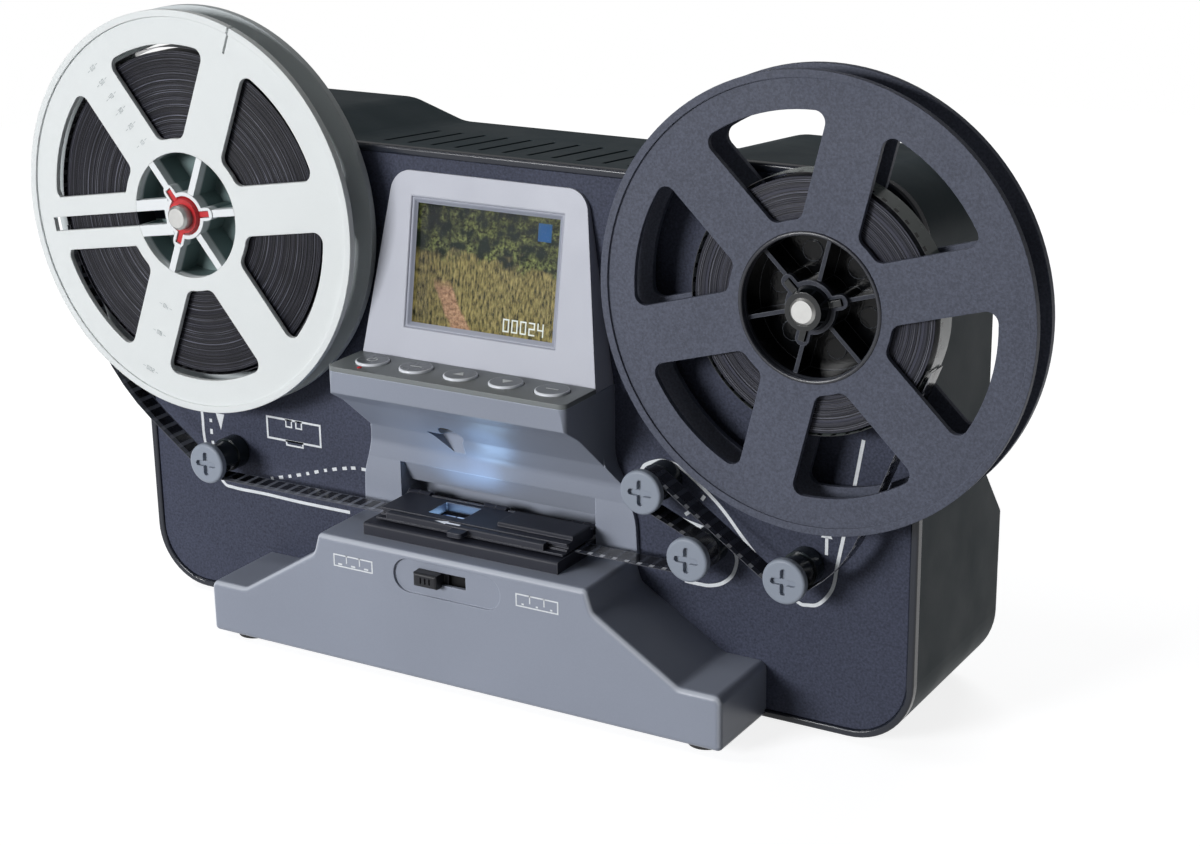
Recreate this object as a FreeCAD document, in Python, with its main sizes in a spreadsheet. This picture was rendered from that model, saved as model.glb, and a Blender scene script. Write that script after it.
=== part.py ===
import FreeCAD, Part
import Sketcher
import math
import os

# Film scanner for small-gauge reels. Millimetres, +X to the right, -Y to the front, +Z up.
# Each piece is drawn from the middle of the front panel: x = 0 is the middle of the body, y = 0 is the
# panel's face and z = 0 is the floor. A finished piece is then shifted, so that the origin lies under the
# middle of the whole object.

Vector = FreeCAD.Vector

# Dimensions: alias, value in millimetres or degrees or a count, or the formula it follows, meaning.
DIMENSIONS = (
    ("body_margin", 27.8, "body's side beyond the take-up spindle"),
    ("body_half_width", "=take_up_x + body_margin", "half the width of panel and housing"),
    ("body_floor", 2.0, "height of the housing's underside"),
    ("waist_margin", 6.8, "top of the body above the screen's bezel"),
    ("shoulder_rise", 6.5, "shoulders above the waist"),
    ("waist_height", "=head_top + bezel_height + waist_margin", "height of the low middle of the top"),
    ("shoulder_height", "=waist_height + shoulder_rise", "height of the two raised shoulders"),
    ("shoulder_start", 72.0, "where each shoulder begins, from the middle"),
    ("waist_end", 52.0, "where the low middle ends"),
    ("corner_radius", 20.0, "outer corners of the body"),
    ("blend_radius", 18.0, "rounding between shoulder and waist"),
    ("housing_depth", 68.0, "rear face behind the panel's face"),
    ("housing_wall", 2.2, "wall of the rear housing"),
    ("rear_round", 4.0, "rounding of the rear edges"),
    ("top_fall", 5.0, "how far the top drops towards the rear"),
    ("corner_cut_height", 71.0, "height above which the rear corners are cut away in full"),
    ("corner_cut_rise", 20.0, "height over which the corner cut grows"),
    ("corner_cut_depth", 17.0, "corner cut, along the depth"),
    ("corner_cut_width", 22.6, "corner cut, across the width"),
    ("trim_width", 2.4, "bead trim, seen from the front"),
    ("trim_proud", 0.8, "bead in front of the panel's face"),
    ("trim_depth", 2.0, "bead behind the panel's face"),
    ("panel_thickness", 2.5, "front panel"),
    ("panel_gap", 0.1, "panel edge to bead"),
    ("vent_count", 11, "vent slots in the top"),
    ("vent_pitch", 8.66, "vent slot spacing"),
    ("vent_width", 1.6, "vent slot width"),
    ("vent_length", 30.0, "vent slot length"),
    ("vent_front", 8.0, "front end of the vent slots"),
    ("base_depth", 29.7, "plinth in front of the panel"),
    ("base_floor", 2.5, "underside of the plinth"),
    ("base_half_width", 93.5, "half the plinth's width"),
    ("shelf_height", 20.0, "low end shelves of the plinth"),
    ("slope_foot", 79.5, "foot of the plinth's slope, from the middle"),
    ("slope_head", 51.0, "head of the plinth's slope, from the middle"),
    ("slope_drop", 7.0, "slope's head below the plinth's deck"),
    ("slope_head_height", "=deck_height - slope_drop", "height of the slope's head"),
    ("deck_half_width", 48.9, "half the width of the plinth's deck"),
    ("deck_height", 44.6, "top of the plinth"),
    ("base_wall", 2.2, "wall of the plinth"),
    ("base_round", 1.8, "front edges of the plinth"),
    ("cover_thickness", 1.8, "plinth's bottom cover"),
    ("foot_radius", 6.0, "rubber feet"),
    ("front_foot_x", 84.0, "front feet from the middle"),
    ("front_foot_y", 20.0, "front feet in front of the panel"),
    ("rear_foot_x", 108.0, "rear feet from the middle"),
    ("rear_foot_y", 48.0, "rear feet behind the panel"),
    ("column_proud", 1.5, "columns in front of the panel"),
    ("column_half_width", 50.5, "outer side of the columns"),
    ("bay_half_width", 36.0, "half the width of the film bay"),
    ("bay_opening", 17.4, "clear height of the film bay at the front"),
    ("bay_top", "=deck_height + bay_opening", "top of the film bay at the front"),
    ("bay_lip_drop", 7.3, "how far the bay's lip slopes down"),
    ("bay_lip_depth", 3.2, "depth of the sloping lip"),
    ("bay_depth", 9.4, "back of the film bay behind the panel"),
    ("bay_wall", 1.6, "liner of the film bay"),
    ("brow_rise", 13.3, "brow above the film bay"),
    ("brow_height", "=bay_top + brow_rise", "where the head starts to lean out"),
    ("brow_depth", 7.4, "brow in front of the panel"),
    ("head_half_width", 42.4, "half the width of the head"),
    ("head_depth", 29.0, "front of the head"),
    ("chin_rise", 16.3, "chin of the head above the brow"),
    ("head_chin", "=brow_height + chin_rise", "lower front edge of the head"),
    ("head_face", 7.1, "upright front of the head"),
    ("head_top", "=head_chin + head_face", "top of the head, under the button plate"),
    ("head_wall", 2.0, "wall of the head"),
    ("head_corner", 2.5, "front corners of the head"),
    ("button_plate_thickness", 1.5, "button plate"),
    ("button_count", 5, "buttons"),
    ("button_pitch", 16.1, "button spacing"),
    ("button_radius", 5.3, "buttons"),
    ("button_row", 18.8, "button row in front of the panel"),
    ("button_proud", 0.7, "button crown above the plate"),
    ("button_travel", 0.6, "button travel"),
    ("button_clearance", 0.25, "gap round a button"),
    ("screen_tilt", 9.8, "screen lean in degrees"),
    ("bezel_depth", 10.7, "foot of the bezel in front of the panel"),
    ("bezel_height", 58.0, "bezel above the head's top"),
    ("bezel_foot_half_width", 42.1, "half the bezel's width at its foot"),
    ("bezel_top_half_width", 34.2, "half the bezel's width at its top"),
    ("bezel_corner", 7.0, "bezel's upper corners"),
    ("screen_width", 54.0, "opening for the screen"),
    ("screen_length", 40.0, "opening for the screen, up the slope"),
    ("screen_foot", 11.0, "screen opening above the head, up the slope"),
    ("screen_lip", 1.3, "bezel in front of the screen window"),
    ("window_thickness", 1.2, "clear screen window"),
    ("module_depth", 4.2, "screen module"),
    ("tray_lip", 6.0, "gate tray in front of the door"),
    ("tray_front", "=door_front + tray_lip", "front edge of the gate tray"),
    ("tray_half_width", 35.5, "half the tray's width"),
    ("tray_thickness", 4.0, "gate tray"),
    ("film_width", 8.0, "film"),
    ("film_thickness", 0.25, "film, a little thick so that it is a clean solid"),
    ("film_middle", "=seat_clearance + seat_thickness + flange_thickness + reel_play + film_width / 2",
     "film's centre line in front of the panel"),
    ("film_lift", 0.05, "film above the tray"),
    ("door_gap", 0.3, "gate door above the film"),
    ("door_thickness", 3.0, "gate door"),
    ("door_left", 32.8, "door's left end from the middle"),
    ("door_right", 35.2, "door's right end from the middle"),
    ("door_lip", 3.4, "gate door in front of the film"),
    ("door_front", "=film_middle + film_width / 2 + door_lip", "door's front edge in front of the panel"),
    ("door_rear", 1.7, "door's rear edge in front of the panel"),
    ("hinge_back", 0.4, "gate hinge axis behind the panel's face"),
    ("hinge_radius", 1.6, "gate hinge knuckles"),
    ("pin_radius", 0.8, "gate hinge pin"),
    ("running_gap", 0.05, "radial clearance of turning fits"),
    ("slide_gap", 0.1, "clearance of sliding fits"),
    ("gate_window_x", 10.5, "light window's middle, left of the body's middle"),
    ("gate_window_width", 12.0, "light window along the film"),
    ("latch_travel", 4.0, "gate latch"),
    ("switch_travel", 8.6, "format switch"),
    ("switch_proud", 2.5, "format switch knob in front of the plinth"),
    ("supply_reel_edge", 40.3, "inner edge of the supply reel, left of the middle"),
    ("supply_x", "=reel_radius + supply_reel_edge", "supply spindle left of the middle"),
    ("supply_reel_foot", 72.5, "lowest edge of the supply reel"),
    ("supply_height", "=reel_radius + supply_reel_foot", "supply spindle"),
    ("take_up_reel_edge", 47.8, "inner edge of the take-up reel, right of the middle"),
    ("take_up_x", "=reel_radius + take_up_reel_edge", "take-up spindle right of the middle"),
    ("take_up_reel_foot", 69.9, "lowest edge of the take-up reel"),
    ("take_up_height", "=reel_radius + take_up_reel_foot", "take-up spindle"),
    ("reel_radius", 65.0, "reel flanges"),
    ("flange_thickness", 1.7, "reel flange"),
    ("reel_play", 0.5, "film to a reel's flange"),
    ("reel_gap", "=film_width + 2 * reel_play", "between a reel's flanges"),
    ("rim_width", 2.2, "raised rim of a flange"),
    ("rim_proud", 0.6, "raised rim above its flange"),
    ("hub_radius", 22.0, "film core of a reel"),
    ("hub_wall", 1.8, "wall of the film core"),
    ("boss_radius", 7.6, "reel's centre boss"),
    ("lobe_reach", 11.4, "outer end of the boss's three lobes"),
    ("lobe_width", 4.2, "lobes of the boss"),
    ("key_width", 2.2, "keyways in the lobes"),
    ("key_reach", 10.0, "outer end of the keyways"),
    ("dark_rib", 1.2, "ribs between boss and film core of the take-up reel"),
    ("pale_rib", 2.4, "ribs between boss and film core of the supply reel"),
    ("ejector_radius", 3.0, "round marks on the take-up reel's back plate"),
    ("ejector_circle", 14.0, "circle of the round marks"),
    ("window_margin", 2.6, "flange windows beyond the film core"),
    ("window_inner", "=hub_radius + window_margin", "inner radius of the flange windows"),
    ("rim_band", 10.7, "solid band of a flange outside its windows"),
    ("window_outer", "=reel_radius - rim_band", "outer radius of the flange windows"),
    ("window_corner", 3.2, "corners of the flange windows"),
    ("dark_spoke", 17.0, "spoke width of the take-up reel"),
    ("pale_spoke", 15.8, "spoke width of the supply reel"),
    ("dark_spoke_angle", 16.0, "direction of a spoke of the take-up reel, in degrees"),
    ("pale_spoke_angle", 9.0, "direction of a spoke of the supply reel, in degrees"),
    ("wide_spoke", 17.6, "the supply reel's slotted spoke"),
    ("film_slot", 4.6, "long slot in the supply reel's wide spoke"),
    ("slot_bar", 3.6, "bars that run on beside the slot to the boss"),
    ("supply_pack", 52.0, "radius of the film wound on the supply reel"),
    ("take_up_pack", 36.0, "radius of the film wound on the take-up reel"),
    ("turn_gap", 0.5, "loose outer turn above the wound film"),
    ("turn_growth", 0.7, "growth of the loose outer turn"),
    ("supply_slack", 67.9, "bend of the slack film below the supply reel"),
    ("supply_slack_x", 17.3, "middle of that bend, right of the supply spindle"),
    ("supply_slack_drop", 17.4, "middle of that bend, below the supply spindle"),
    ("take_up_slack", 42.0, "bend of the slack film below the take-up reel"),
    ("take_up_slack_x", 23.7, "middle of that bend, left of the take-up spindle"),
    ("take_up_slack_drop", 48.8, "middle of that bend, below the take-up spindle"),
    ("spindle_radius", 3.9, "spindles"),
    ("reel_front", "=seat_clearance + seat_thickness + 2 * flange_thickness + reel_gap",
     "front face of the reels in front of the panel"),
    ("spindle_proud", 4.5, "spindle tips in front of the reels"),
    ("spindle_front", "=reel_front + spindle_proud", "spindle tips in front of the panel"),
    ("adaptor_radius", 6.3, "spindle adaptors"),
    ("supply_adaptor_proud", 1.2, "supply adaptor in front of its reel"),
    ("take_up_adaptor_proud", 3.8, "take-up adaptor in front of its reel"),
    ("fin_clearance", 0.2, "adaptor's fins in the reel's keyways"),
    ("seat_radius", 10.0, "shoulder that carries a reel"),
    ("seat_thickness", 1.6, "shoulder that carries a reel"),
    ("seat_clearance", 2.0, "back of the shoulder in front of the panel"),
    ("bush_radius", 6.5, "spindle bushes"),
    ("bush_flange_radius", 9.0, "flange of the spindle bushes"),
    ("bush_flange", 1.6, "thickness of the bush flange"),
    ("bush_length", 12.0, "spindle bushes behind the panel's face"),
    ("roller_radius", 5.0, "guide rollers"),
    ("roller_rim", 1.8, "guide roller heads beyond the barrel"),
    ("roller_head_radius", "=roller_radius + roller_rim", "guide roller heads"),
    ("roller_head", 2.3, "thickness of a roller's head"),
    ("roller_round", 0.9, "rounding of a roller's head"),
    ("roller_shoulder", 0.6, "rear shoulder beyond the barrel"),
    ("roller_shoulder_radius", "=roller_radius + roller_shoulder", "rear shoulder of a roller"),
    ("roller_clearance", 0.4, "roller in front of the panel"),
    ("post_radius", 1.5, "roller posts"),
    ("wrap_gap", 0.3, "film above a roller"),
    ("left_roller_x", 104.0, "left roller, left of the middle"),
    ("upper_roller_x", 59.8, "upper right roller"),
    ("upper_roller_height", 72.4, "upper right roller"),
    ("middle_roller_x", 75.1, "middle right roller"),
    ("right_roller_x", 106.3, "lower right roller"),
    ("right_roller_drop", 0.7, "lower right roller below the other two"),
    ("pulley_radius", 15.0, "take-up pulley"),
    ("motor_pulley_radius", 5.0, "motor pulley"),
    ("pulley_width", 5.0, "pulleys"),
    ("pulley_front", 16.0, "front of the pulleys behind the panel's face"),
    ("groove_depth", 2.0, "belt groove"),
    ("belt_size", 1.6, "belt section"),
    ("belt_gap", 0.3, "belt above its groove"),
    ("motor_reach", 37.8, "take-up motor left of its spindle"),
    ("motor_x", "=take_up_x - motor_reach", "take-up motor right of the middle"),
    ("motor_drop", 21.9, "take-up motor below its spindle"),
    ("motor_height", "=take_up_height - motor_drop", "take-up motor"),
    ("motor_radius", 12.0, "take-up motor"),
    ("motor_length", 28.0, "take-up motor"),
    ("rear_space", 16.0, "front of the main board to the rear face"),
    ("board_depth", "=housing_depth - rear_space", "front of the main board behind the panel's face"),
    ("board_thickness", 1.6, "circuit boards"),
    ("screw_radius", 1.3, "housing screws"),
    ("boss_split", 14.0, "where panel bosses and housing posts meet"),
)


class Size:
    """A size that keeps its number and the sheet formula behind it."""

    def __init__(self, number, formula):
        self.number = float(number)
        self.formula = formula

    def __add__(self, other):
        other = size(other)
        return Size(self.number + other.number, f"({self.formula} + {other.formula})")

    def __sub__(self, other):
        other = size(other)
        return Size(self.number - other.number, f"({self.formula} - {other.formula})")

    def __mul__(self, other):
        other = size(other)
        return Size(self.number * other.number, f"({self.formula} * {other.formula})")

    def __truediv__(self, other):
        other = size(other)
        return Size(self.number / other.number, f"({self.formula} / {other.formula})")

    def __rsub__(self, other):
        return size(other) - self

    def __neg__(self):
        return Size(-self.number, f"(0 - {self.formula})")

    def __float__(self):
        return self.number

    __radd__ = __add__
    __rmul__ = __mul__


def size(value):
    if isinstance(value, Size):
        return value
    return Size(value, f"({float(value)})")


def sine(angle):
    return Size(math.sin(math.radians(angle.number)), f"sin({angle.formula})")


def cosine(angle):
    return Size(math.cos(math.radians(angle.number)), f"cos({angle.formula})")


def diagonal(a, b):
    total = a * a + b * b
    return Size(math.sqrt(total.number), f"sqrt({total.formula})")


doc = FreeCAD.newDocument("FilmScanner")
sheet = doc.addObject("Spreadsheet::Sheet", "dims")
for row, (alias, value, meaning) in enumerate(DIMENSIONS, start=1):
    sheet.set(f"A{row}", meaning)
    sheet.set(f"B{row}", str(value))
    sheet.setAlias(f"B{row}", alias)
doc.recompute()


class Dims:
    """The sheet's values by their names."""

    def __getattr__(self, alias):
        return Size(float(sheet.get(alias)), f"dims.{alias}")


dims = Dims()

# The reels' rims set the overall width, the switch knob and the rear face the overall depth.
shift_x = (dims.supply_x - dims.take_up_x) / 2
shift_y = (dims.base_depth + dims.switch_proud - dims.housing_depth) / 2

TURN = {
    "X": FreeCAD.Rotation(Vector(0, 1, 0), 90),
    "Y": FreeCAD.Rotation(Vector(1, 0, 0), -90),
    "Z": FreeCAD.Rotation(),
}
drawn_at = {}
nodes = []


def place(obj, x, y, z, rotation=None):
    """Bind an object's base point, measured from the middle of the panel."""
    if rotation is not None:
        obj.Placement = FreeCAD.Placement(Vector(), rotation)
    drawn_at[obj.Name] = (size(x), size(y), size(z))
    for axis, value in zip("xyz", drawn_at[obj.Name]):
        obj.setExpression(f"Placement.Base.{axis}", value.formula)


def node(name, obj):
    """Name a finished piece and shift it into the object's frame."""
    obj.Label = name
    x, y, z = drawn_at.get(obj.Name, (size(0), size(0), size(0)))
    place(obj, x + shift_x, y + shift_y, z)
    nodes.append(obj)


def box(name, x, y, z):
    """A box from three (low, high) pairs."""
    obj = doc.addObject("Part::Box", name)
    for side, (low, high) in zip(("Length", "Width", "Height"), (x, y, z)):
        obj.setExpression(side, (size(high) - low).formula)
    place(obj, x[0], y[0], z[0])
    return obj


def leaning_box(name, x, along, depth):
    """A box on the screen's slope: across, along the slope from its foot, and into the bezel."""
    obj = doc.addObject("Part::Box", name)
    for side, (low, high) in zip(("Length", "Width", "Height"), (x, depth, along)):
        obj.setExpression(side, (size(high) - low).formula)
    lean_y = sine(dims.screen_tilt)
    lean_z = cosine(dims.screen_tilt)
    y = size(along[0]) * lean_y + size(depth[0]) * lean_z - dims.bezel_depth
    z = dims.head_top + size(along[0]) * lean_z - size(depth[0]) * lean_y
    place(obj, x[0], y, z, FreeCAD.Rotation(Vector(-1, 0, 0), float(dims.screen_tilt)))
    obj.setExpression("Placement.Rotation.Angle", dims.screen_tilt.formula)
    return obj


def rod(name, axis, centre, start, end, radius):
    """A cylinder along an axis, from start to end, about a centre in the other two directions."""
    obj = doc.addObject("Part::Cylinder", name)
    obj.setExpression("Radius", size(radius).formula)
    obj.setExpression("Height", (size(end) - start).formula)
    first, second = centre
    bases = {"X": (start, first, second), "Y": (first, start, second), "Z": (first, second, start)}
    place(obj, *bases[axis], rotation=TURN[axis])
    return obj


def cone(name, axis, centre, start, end, start_radius, end_radius):
    """A cone along an axis, like a rod with a second radius."""
    obj = doc.addObject("Part::Cone", name)
    obj.setExpression("Radius1", size(start_radius).formula)
    obj.setExpression("Radius2", size(end_radius).formula)
    obj.setExpression("Height", (size(end) - start).formula)
    first, second = centre
    bases = {"X": (start, first, second), "Y": (first, start, second), "Z": (first, second, start)}
    place(obj, *bases[axis], rotation=TURN[axis])
    return obj


def fuse(name, *shapes):
    obj = doc.addObject("Part::MultiFuse", name)
    obj.Shapes = list(shapes)
    obj.Refine = True
    return obj


def cut(name, base, *tools):
    obj = doc.addObject("Part::Cut", name)
    obj.Base = base
    obj.Tool = tools[0] if len(tools) == 1 else fuse(f"{name}_tools", *tools)
    obj.Refine = True
    return obj


def common(name, *shapes):
    obj = doc.addObject("Part::MultiCommon", name)
    obj.Shapes = list(shapes)
    obj.Refine = True
    return obj


def group(name, *shapes):
    """Separate solids of one kind that share a node."""
    obj = doc.addObject("Part::Compound", name)
    obj.Links = list(shapes)
    return obj


def made(name, shape):
    """A piece whose shape is worked out here from the sheet's values."""
    obj = doc.addObject("Part::Feature", name)
    obj.Shape = shape
    return obj


def tube(name, axis, centre, start, end, outer, inner):
    """A cylinder with a bore right through."""
    return cut(
        name,
        rod(f"{name}_outside", axis, centre, start, end, outer),
        rod(f"{name}_bore", axis, centre, size(start) - 1, size(end) + 1, inner),
    )


def rounded(name, base, radius, wanted):
    """Round the edges of an object that a test of their bounding boxes picks out."""
    doc.recompute()
    picks = [i for i, edge in enumerate(base.Shape.Edges, start=1) if wanted(edge.BoundBox)]
    obj = doc.addObject("Part::Fillet", name)
    obj.Base = base
    obj.Edges = [(i, float(radius), float(radius)) for i in picks]
    return obj


# For each drawing plane: the origin plane, the sign of its normal, the coordinates drawn and the one padded.
PLANES = {
    "front": ("XZ_Plane", -1, ("x", "z"), "y"),
    "side": ("YZ_Plane", 1, ("y", "z"), "x"),
    "plan": ("XY_Plane", 1, ("x", "y"), "z"),
}


def sketch_on(body, name, plane, level):
    """An empty sketch on a plane of the body, moved to a level along the plane's normal axis."""
    role, sign = PLANES[plane][:2]
    sketch = body.newObject("Sketcher::SketchObject", name)
    origin = {feature.Role: feature for feature in body.Origin.OriginFeatures}
    sketch.AttachmentSupport = [(origin[role], "")]
    sketch.MapMode = "FlatFace"
    sketch.setExpression("AttachmentOffset.Base.z", (size(level) * sign).formula)
    return sketch


def pad_from(body, name, sketch, plane, length):
    """Pad a sketch towards the positive axis."""
    pad = body.newObject("PartDesign::Pad", name)
    pad.Profile = sketch
    pad.setExpression("Length", size(length).formula)
    pad.Reversed = PLANES[plane][1] < 0
    doc.recompute()
    return pad


def bind_last(sketch, constraint, value):
    index = sketch.addConstraint(constraint)
    sketch.setExpression(f"Constraints[{index}]", value.formula)


def round_feature(body, name, base, radius, wanted):
    """Round the edges of a body's last feature that a test picks out."""
    picks = [f"Edge{i}" for i, edge in enumerate(base.Shape.Edges, start=1) if wanted(edge)]
    fillet = body.newObject("PartDesign::Fillet", name)
    fillet.Base = (base, picks)
    fillet.setExpression("Radius", size(radius).formula)
    doc.recompute()
    return fillet


def profile(name, plane, points, start, end, corners=(), start_round=None):
    """A body padded from a closed outline of straight sides.

    corners pairs an outline point's number with its radius. start_round rounds the edges of the start face.
    """
    across, along = PLANES[plane][2:]
    body = doc.addObject("PartDesign::Body", name)
    sketch = sketch_on(body, f"{name}_outline", plane, start)
    points = [(size(a), size(b)) for a, b in points]
    spots = [Vector(float(a), float(b), 0) for a, b in points]
    count = len(points)
    for i in range(count):
        sketch.addGeometry(Part.LineSegment(spots[i], spots[(i + 1) % count]), False)
    for i in range(count):
        sketch.addConstraint(Sketcher.Constraint("Coincident", i, 2, (i + 1) % count, 1))
    for i, (a, b) in enumerate(points):
        bind_last(sketch, Sketcher.Constraint("DistanceX", -1, 1, i, 1, float(a)), a)
        bind_last(sketch, Sketcher.Constraint("DistanceY", -1, 1, i, 1, float(b)), b)
    last = pad_from(body, f"{name}_pad", sketch, plane, size(end) - start)

    def at_corner(edge, spot):
        gaps = [
            math.hypot(getattr(v.Point, across[0]) - spot.x, getattr(v.Point, across[1]) - spot.y)
            for v in edge.Vertexes
        ]
        return max(gaps) < 1e-4

    def on_start(edge):
        return all(abs(getattr(v.Point, along) - float(start)) < 1e-4 for v in edge.Vertexes)

    radii = {}
    for number, radius in corners:
        radii.setdefault(size(radius).formula, (size(radius), []))[1].append(spots[number])
    for number, (radius, picked) in enumerate(radii.values(), start=1):
        last = round_feature(
            body, f"{name}_corner{number}", last, radius,
            lambda edge: any(at_corner(edge, spot) for spot in picked),
        )
    if start_round is not None:
        last = round_feature(body, f"{name}_rim", last, start_round, on_start)
    place(body, 0, 0, 0)
    return body


SPINDLES = [
    (-dims.supply_x, dims.supply_height),
    (dims.take_up_x, dims.take_up_height),
]


def tray_top():
    return dims.deck_height + dims.tray_thickness


def film_underside():
    return tray_top() + dims.film_lift


def door_underside():
    return film_underside() + dims.film_thickness + dims.door_gap


def gate_hinge_height():
    return door_underside() + dims.hinge_radius + 0.2


def guide_height():
    """The height of a roller under which the film runs level with the gate."""
    return film_underside() + dims.film_thickness + dims.wrap_gap + dims.roller_radius


ROLLERS = {
    "left": (-dims.left_roller_x, guide_height()),
    "upper": (dims.upper_roller_x, dims.upper_roller_height),
    "middle": (dims.middle_roller_x, guide_height()),
    "lower": (dims.right_roller_x, guide_height() - dims.right_roller_drop),
}


def mirrored(points):
    """An outline given by its right half, from the foot up, closed by its mirror image."""
    right = [(size(x), size(z)) for x, z in points]
    return right + [(-x, z) for x, z in reversed(right)]


def body_half_outline(inset, drop=0):
    """The right half of the body's outline seen from the front, drawn in by an inset."""
    run = dims.shoulder_start - dims.waist_end
    rise = dims.shoulder_height - dims.waist_height
    turn = (diagonal(run, rise) - run) / rise * inset
    side = dims.body_half_width - inset
    return [
        (side, dims.body_floor + inset),
        (side, dims.shoulder_height - inset - drop),
        (dims.shoulder_start + turn, dims.shoulder_height - inset - drop),
        (dims.waist_end + turn, dims.waist_height - inset - drop),
    ]


def body_corners(inset):
    outer = dims.corner_radius - inset
    convex = dims.blend_radius - inset
    concave = dims.blend_radius + inset
    radii = [outer, outer, convex, concave]
    return list(enumerate(radii + radii[::-1]))


def body_slab(name, inset, start, end):
    """A slab with the body's outline."""
    return profile(name, "front", mirrored(body_half_outline(inset)), start, end, body_corners(inset))


def body_wire(inset, drop, y):
    """The body's outline with its rounded corners as a wire at one depth."""
    points = [Vector(float(x), y, float(z)) for x, z in mirrored(body_half_outline(size(inset), drop))]
    radii = [float(radius) for _, radius in body_corners(size(inset))]
    edges = []
    ends = []
    for i, point in enumerate(points):
        before = (points[i - 1] - point).normalize()
        after = (points[(i + 1) % len(points)] - point).normalize()
        half_turn = (math.pi - before.getAngle(after)) / 2
        reach = radii[i] * math.tan(half_turn)
        middle = (before + after).normalize() * (radii[i] / math.cos(half_turn) - radii[i])
        ends.append((point + before * reach, point + middle, point + after * reach))
    for i, (first, middle, last) in enumerate(ends):
        edges.append(Part.Arc(first, middle, last).toShape())
        edges.append(Part.LineSegment(last, ends[(i + 1) % len(ends)][0]).toShape())
    return Part.Wire(edges)


def corner_cuts(name, inset):
    """The two wedges that take the rear side corners off, drawn in by an inset for the cavity."""
    width = dims.corner_cut_width
    depth = dims.corner_cut_depth
    side = dims.body_half_width
    rear = dims.housing_depth
    reach = (diagonal(width, depth)) * inset
    across = reach / depth
    along = reach / width
    wedges = []
    for side_name, sign in (("left", -1), ("right", 1)):
        corner = (float(side) * sign, float(rear))
        # The cut grows from nothing at the wedge's foot to its full size, and past it to the top.
        levels = [
            (float(dims.corner_cut_height - dims.corner_cut_rise), 0.0),
            (float(dims.corner_cut_height), 1.0),
            (float(dims.shoulder_height) + 5, 1.0),
        ]
        rings = []
        for z, share in levels:
            x = float(width) * share + float(across)
            y = float(depth) * share + float(along)
            rings.append([
                Vector(corner[0] + sign * 10, corner[1] - y - 10 * float(depth) / float(width), z),
                Vector(corner[0] - sign * (x + 10 * float(width) / float(depth)), corner[1] + 10, z),
                Vector(corner[0] + sign * 10, corner[1] + 10, z),
            ])
        stages = [
            Part.makeLoft([Part.makePolygon(ring + ring[:1]) for ring in pair], True, True)
            for pair in zip(rings, rings[1:])
        ]
        wedges.append(made(f"{name}_{side_name}", stages[0].fuse(stages[1]).removeSplitter()))
    return wedges


# The motor's bracket, seen from the front, as half its width and half its height.
BRACKET = (17.0, 16.0)
# The middle pair of posts stands beside the console and clear below the bracket.
POST_PLACES = [
    (dims.body_half_width - dims.corner_radius - 3, dims.body_floor + 15),
    (dims.column_half_width + 15, dims.motor_height - BRACKET[1] - 8.7),
    (dims.shoulder_start + 14, dims.shoulder_height - 12),
]
POST_RADIUS = 4.5
SCREW_HEAD_RADIUS = 2.6
SCREW_HEAD_START = 28.0
SCREW_HEAD_LENGTH = 2.2
SCREW_SLOT = (4.0, 0.7)
BOARD_POSTS = [(54.0, 76.0), (54.0, 144.0)]
CONNECTORS = (
    # name, kind of opening, x from and to, z from and to
    ("dc_inlet", "round", (-50.0, -40.0), (80.0, 90.0)),
    ("usb_socket", "slot", (-30.0, -18.0), (80.5, 86.0)),
    ("tv_jack", "round", (-6.0, 2.0), (80.0, 88.0)),
    ("sd_card_slot", "slot", (12.0, 40.0), (79.5, 84.0)),
)
CONNECTOR_BORES = {"dc_inlet": 3.2, "tv_jack": 1.8}


def both_sides(places):
    return [(sign * size(x), z) for x, z in places for sign in (-1, 1)]


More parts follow.
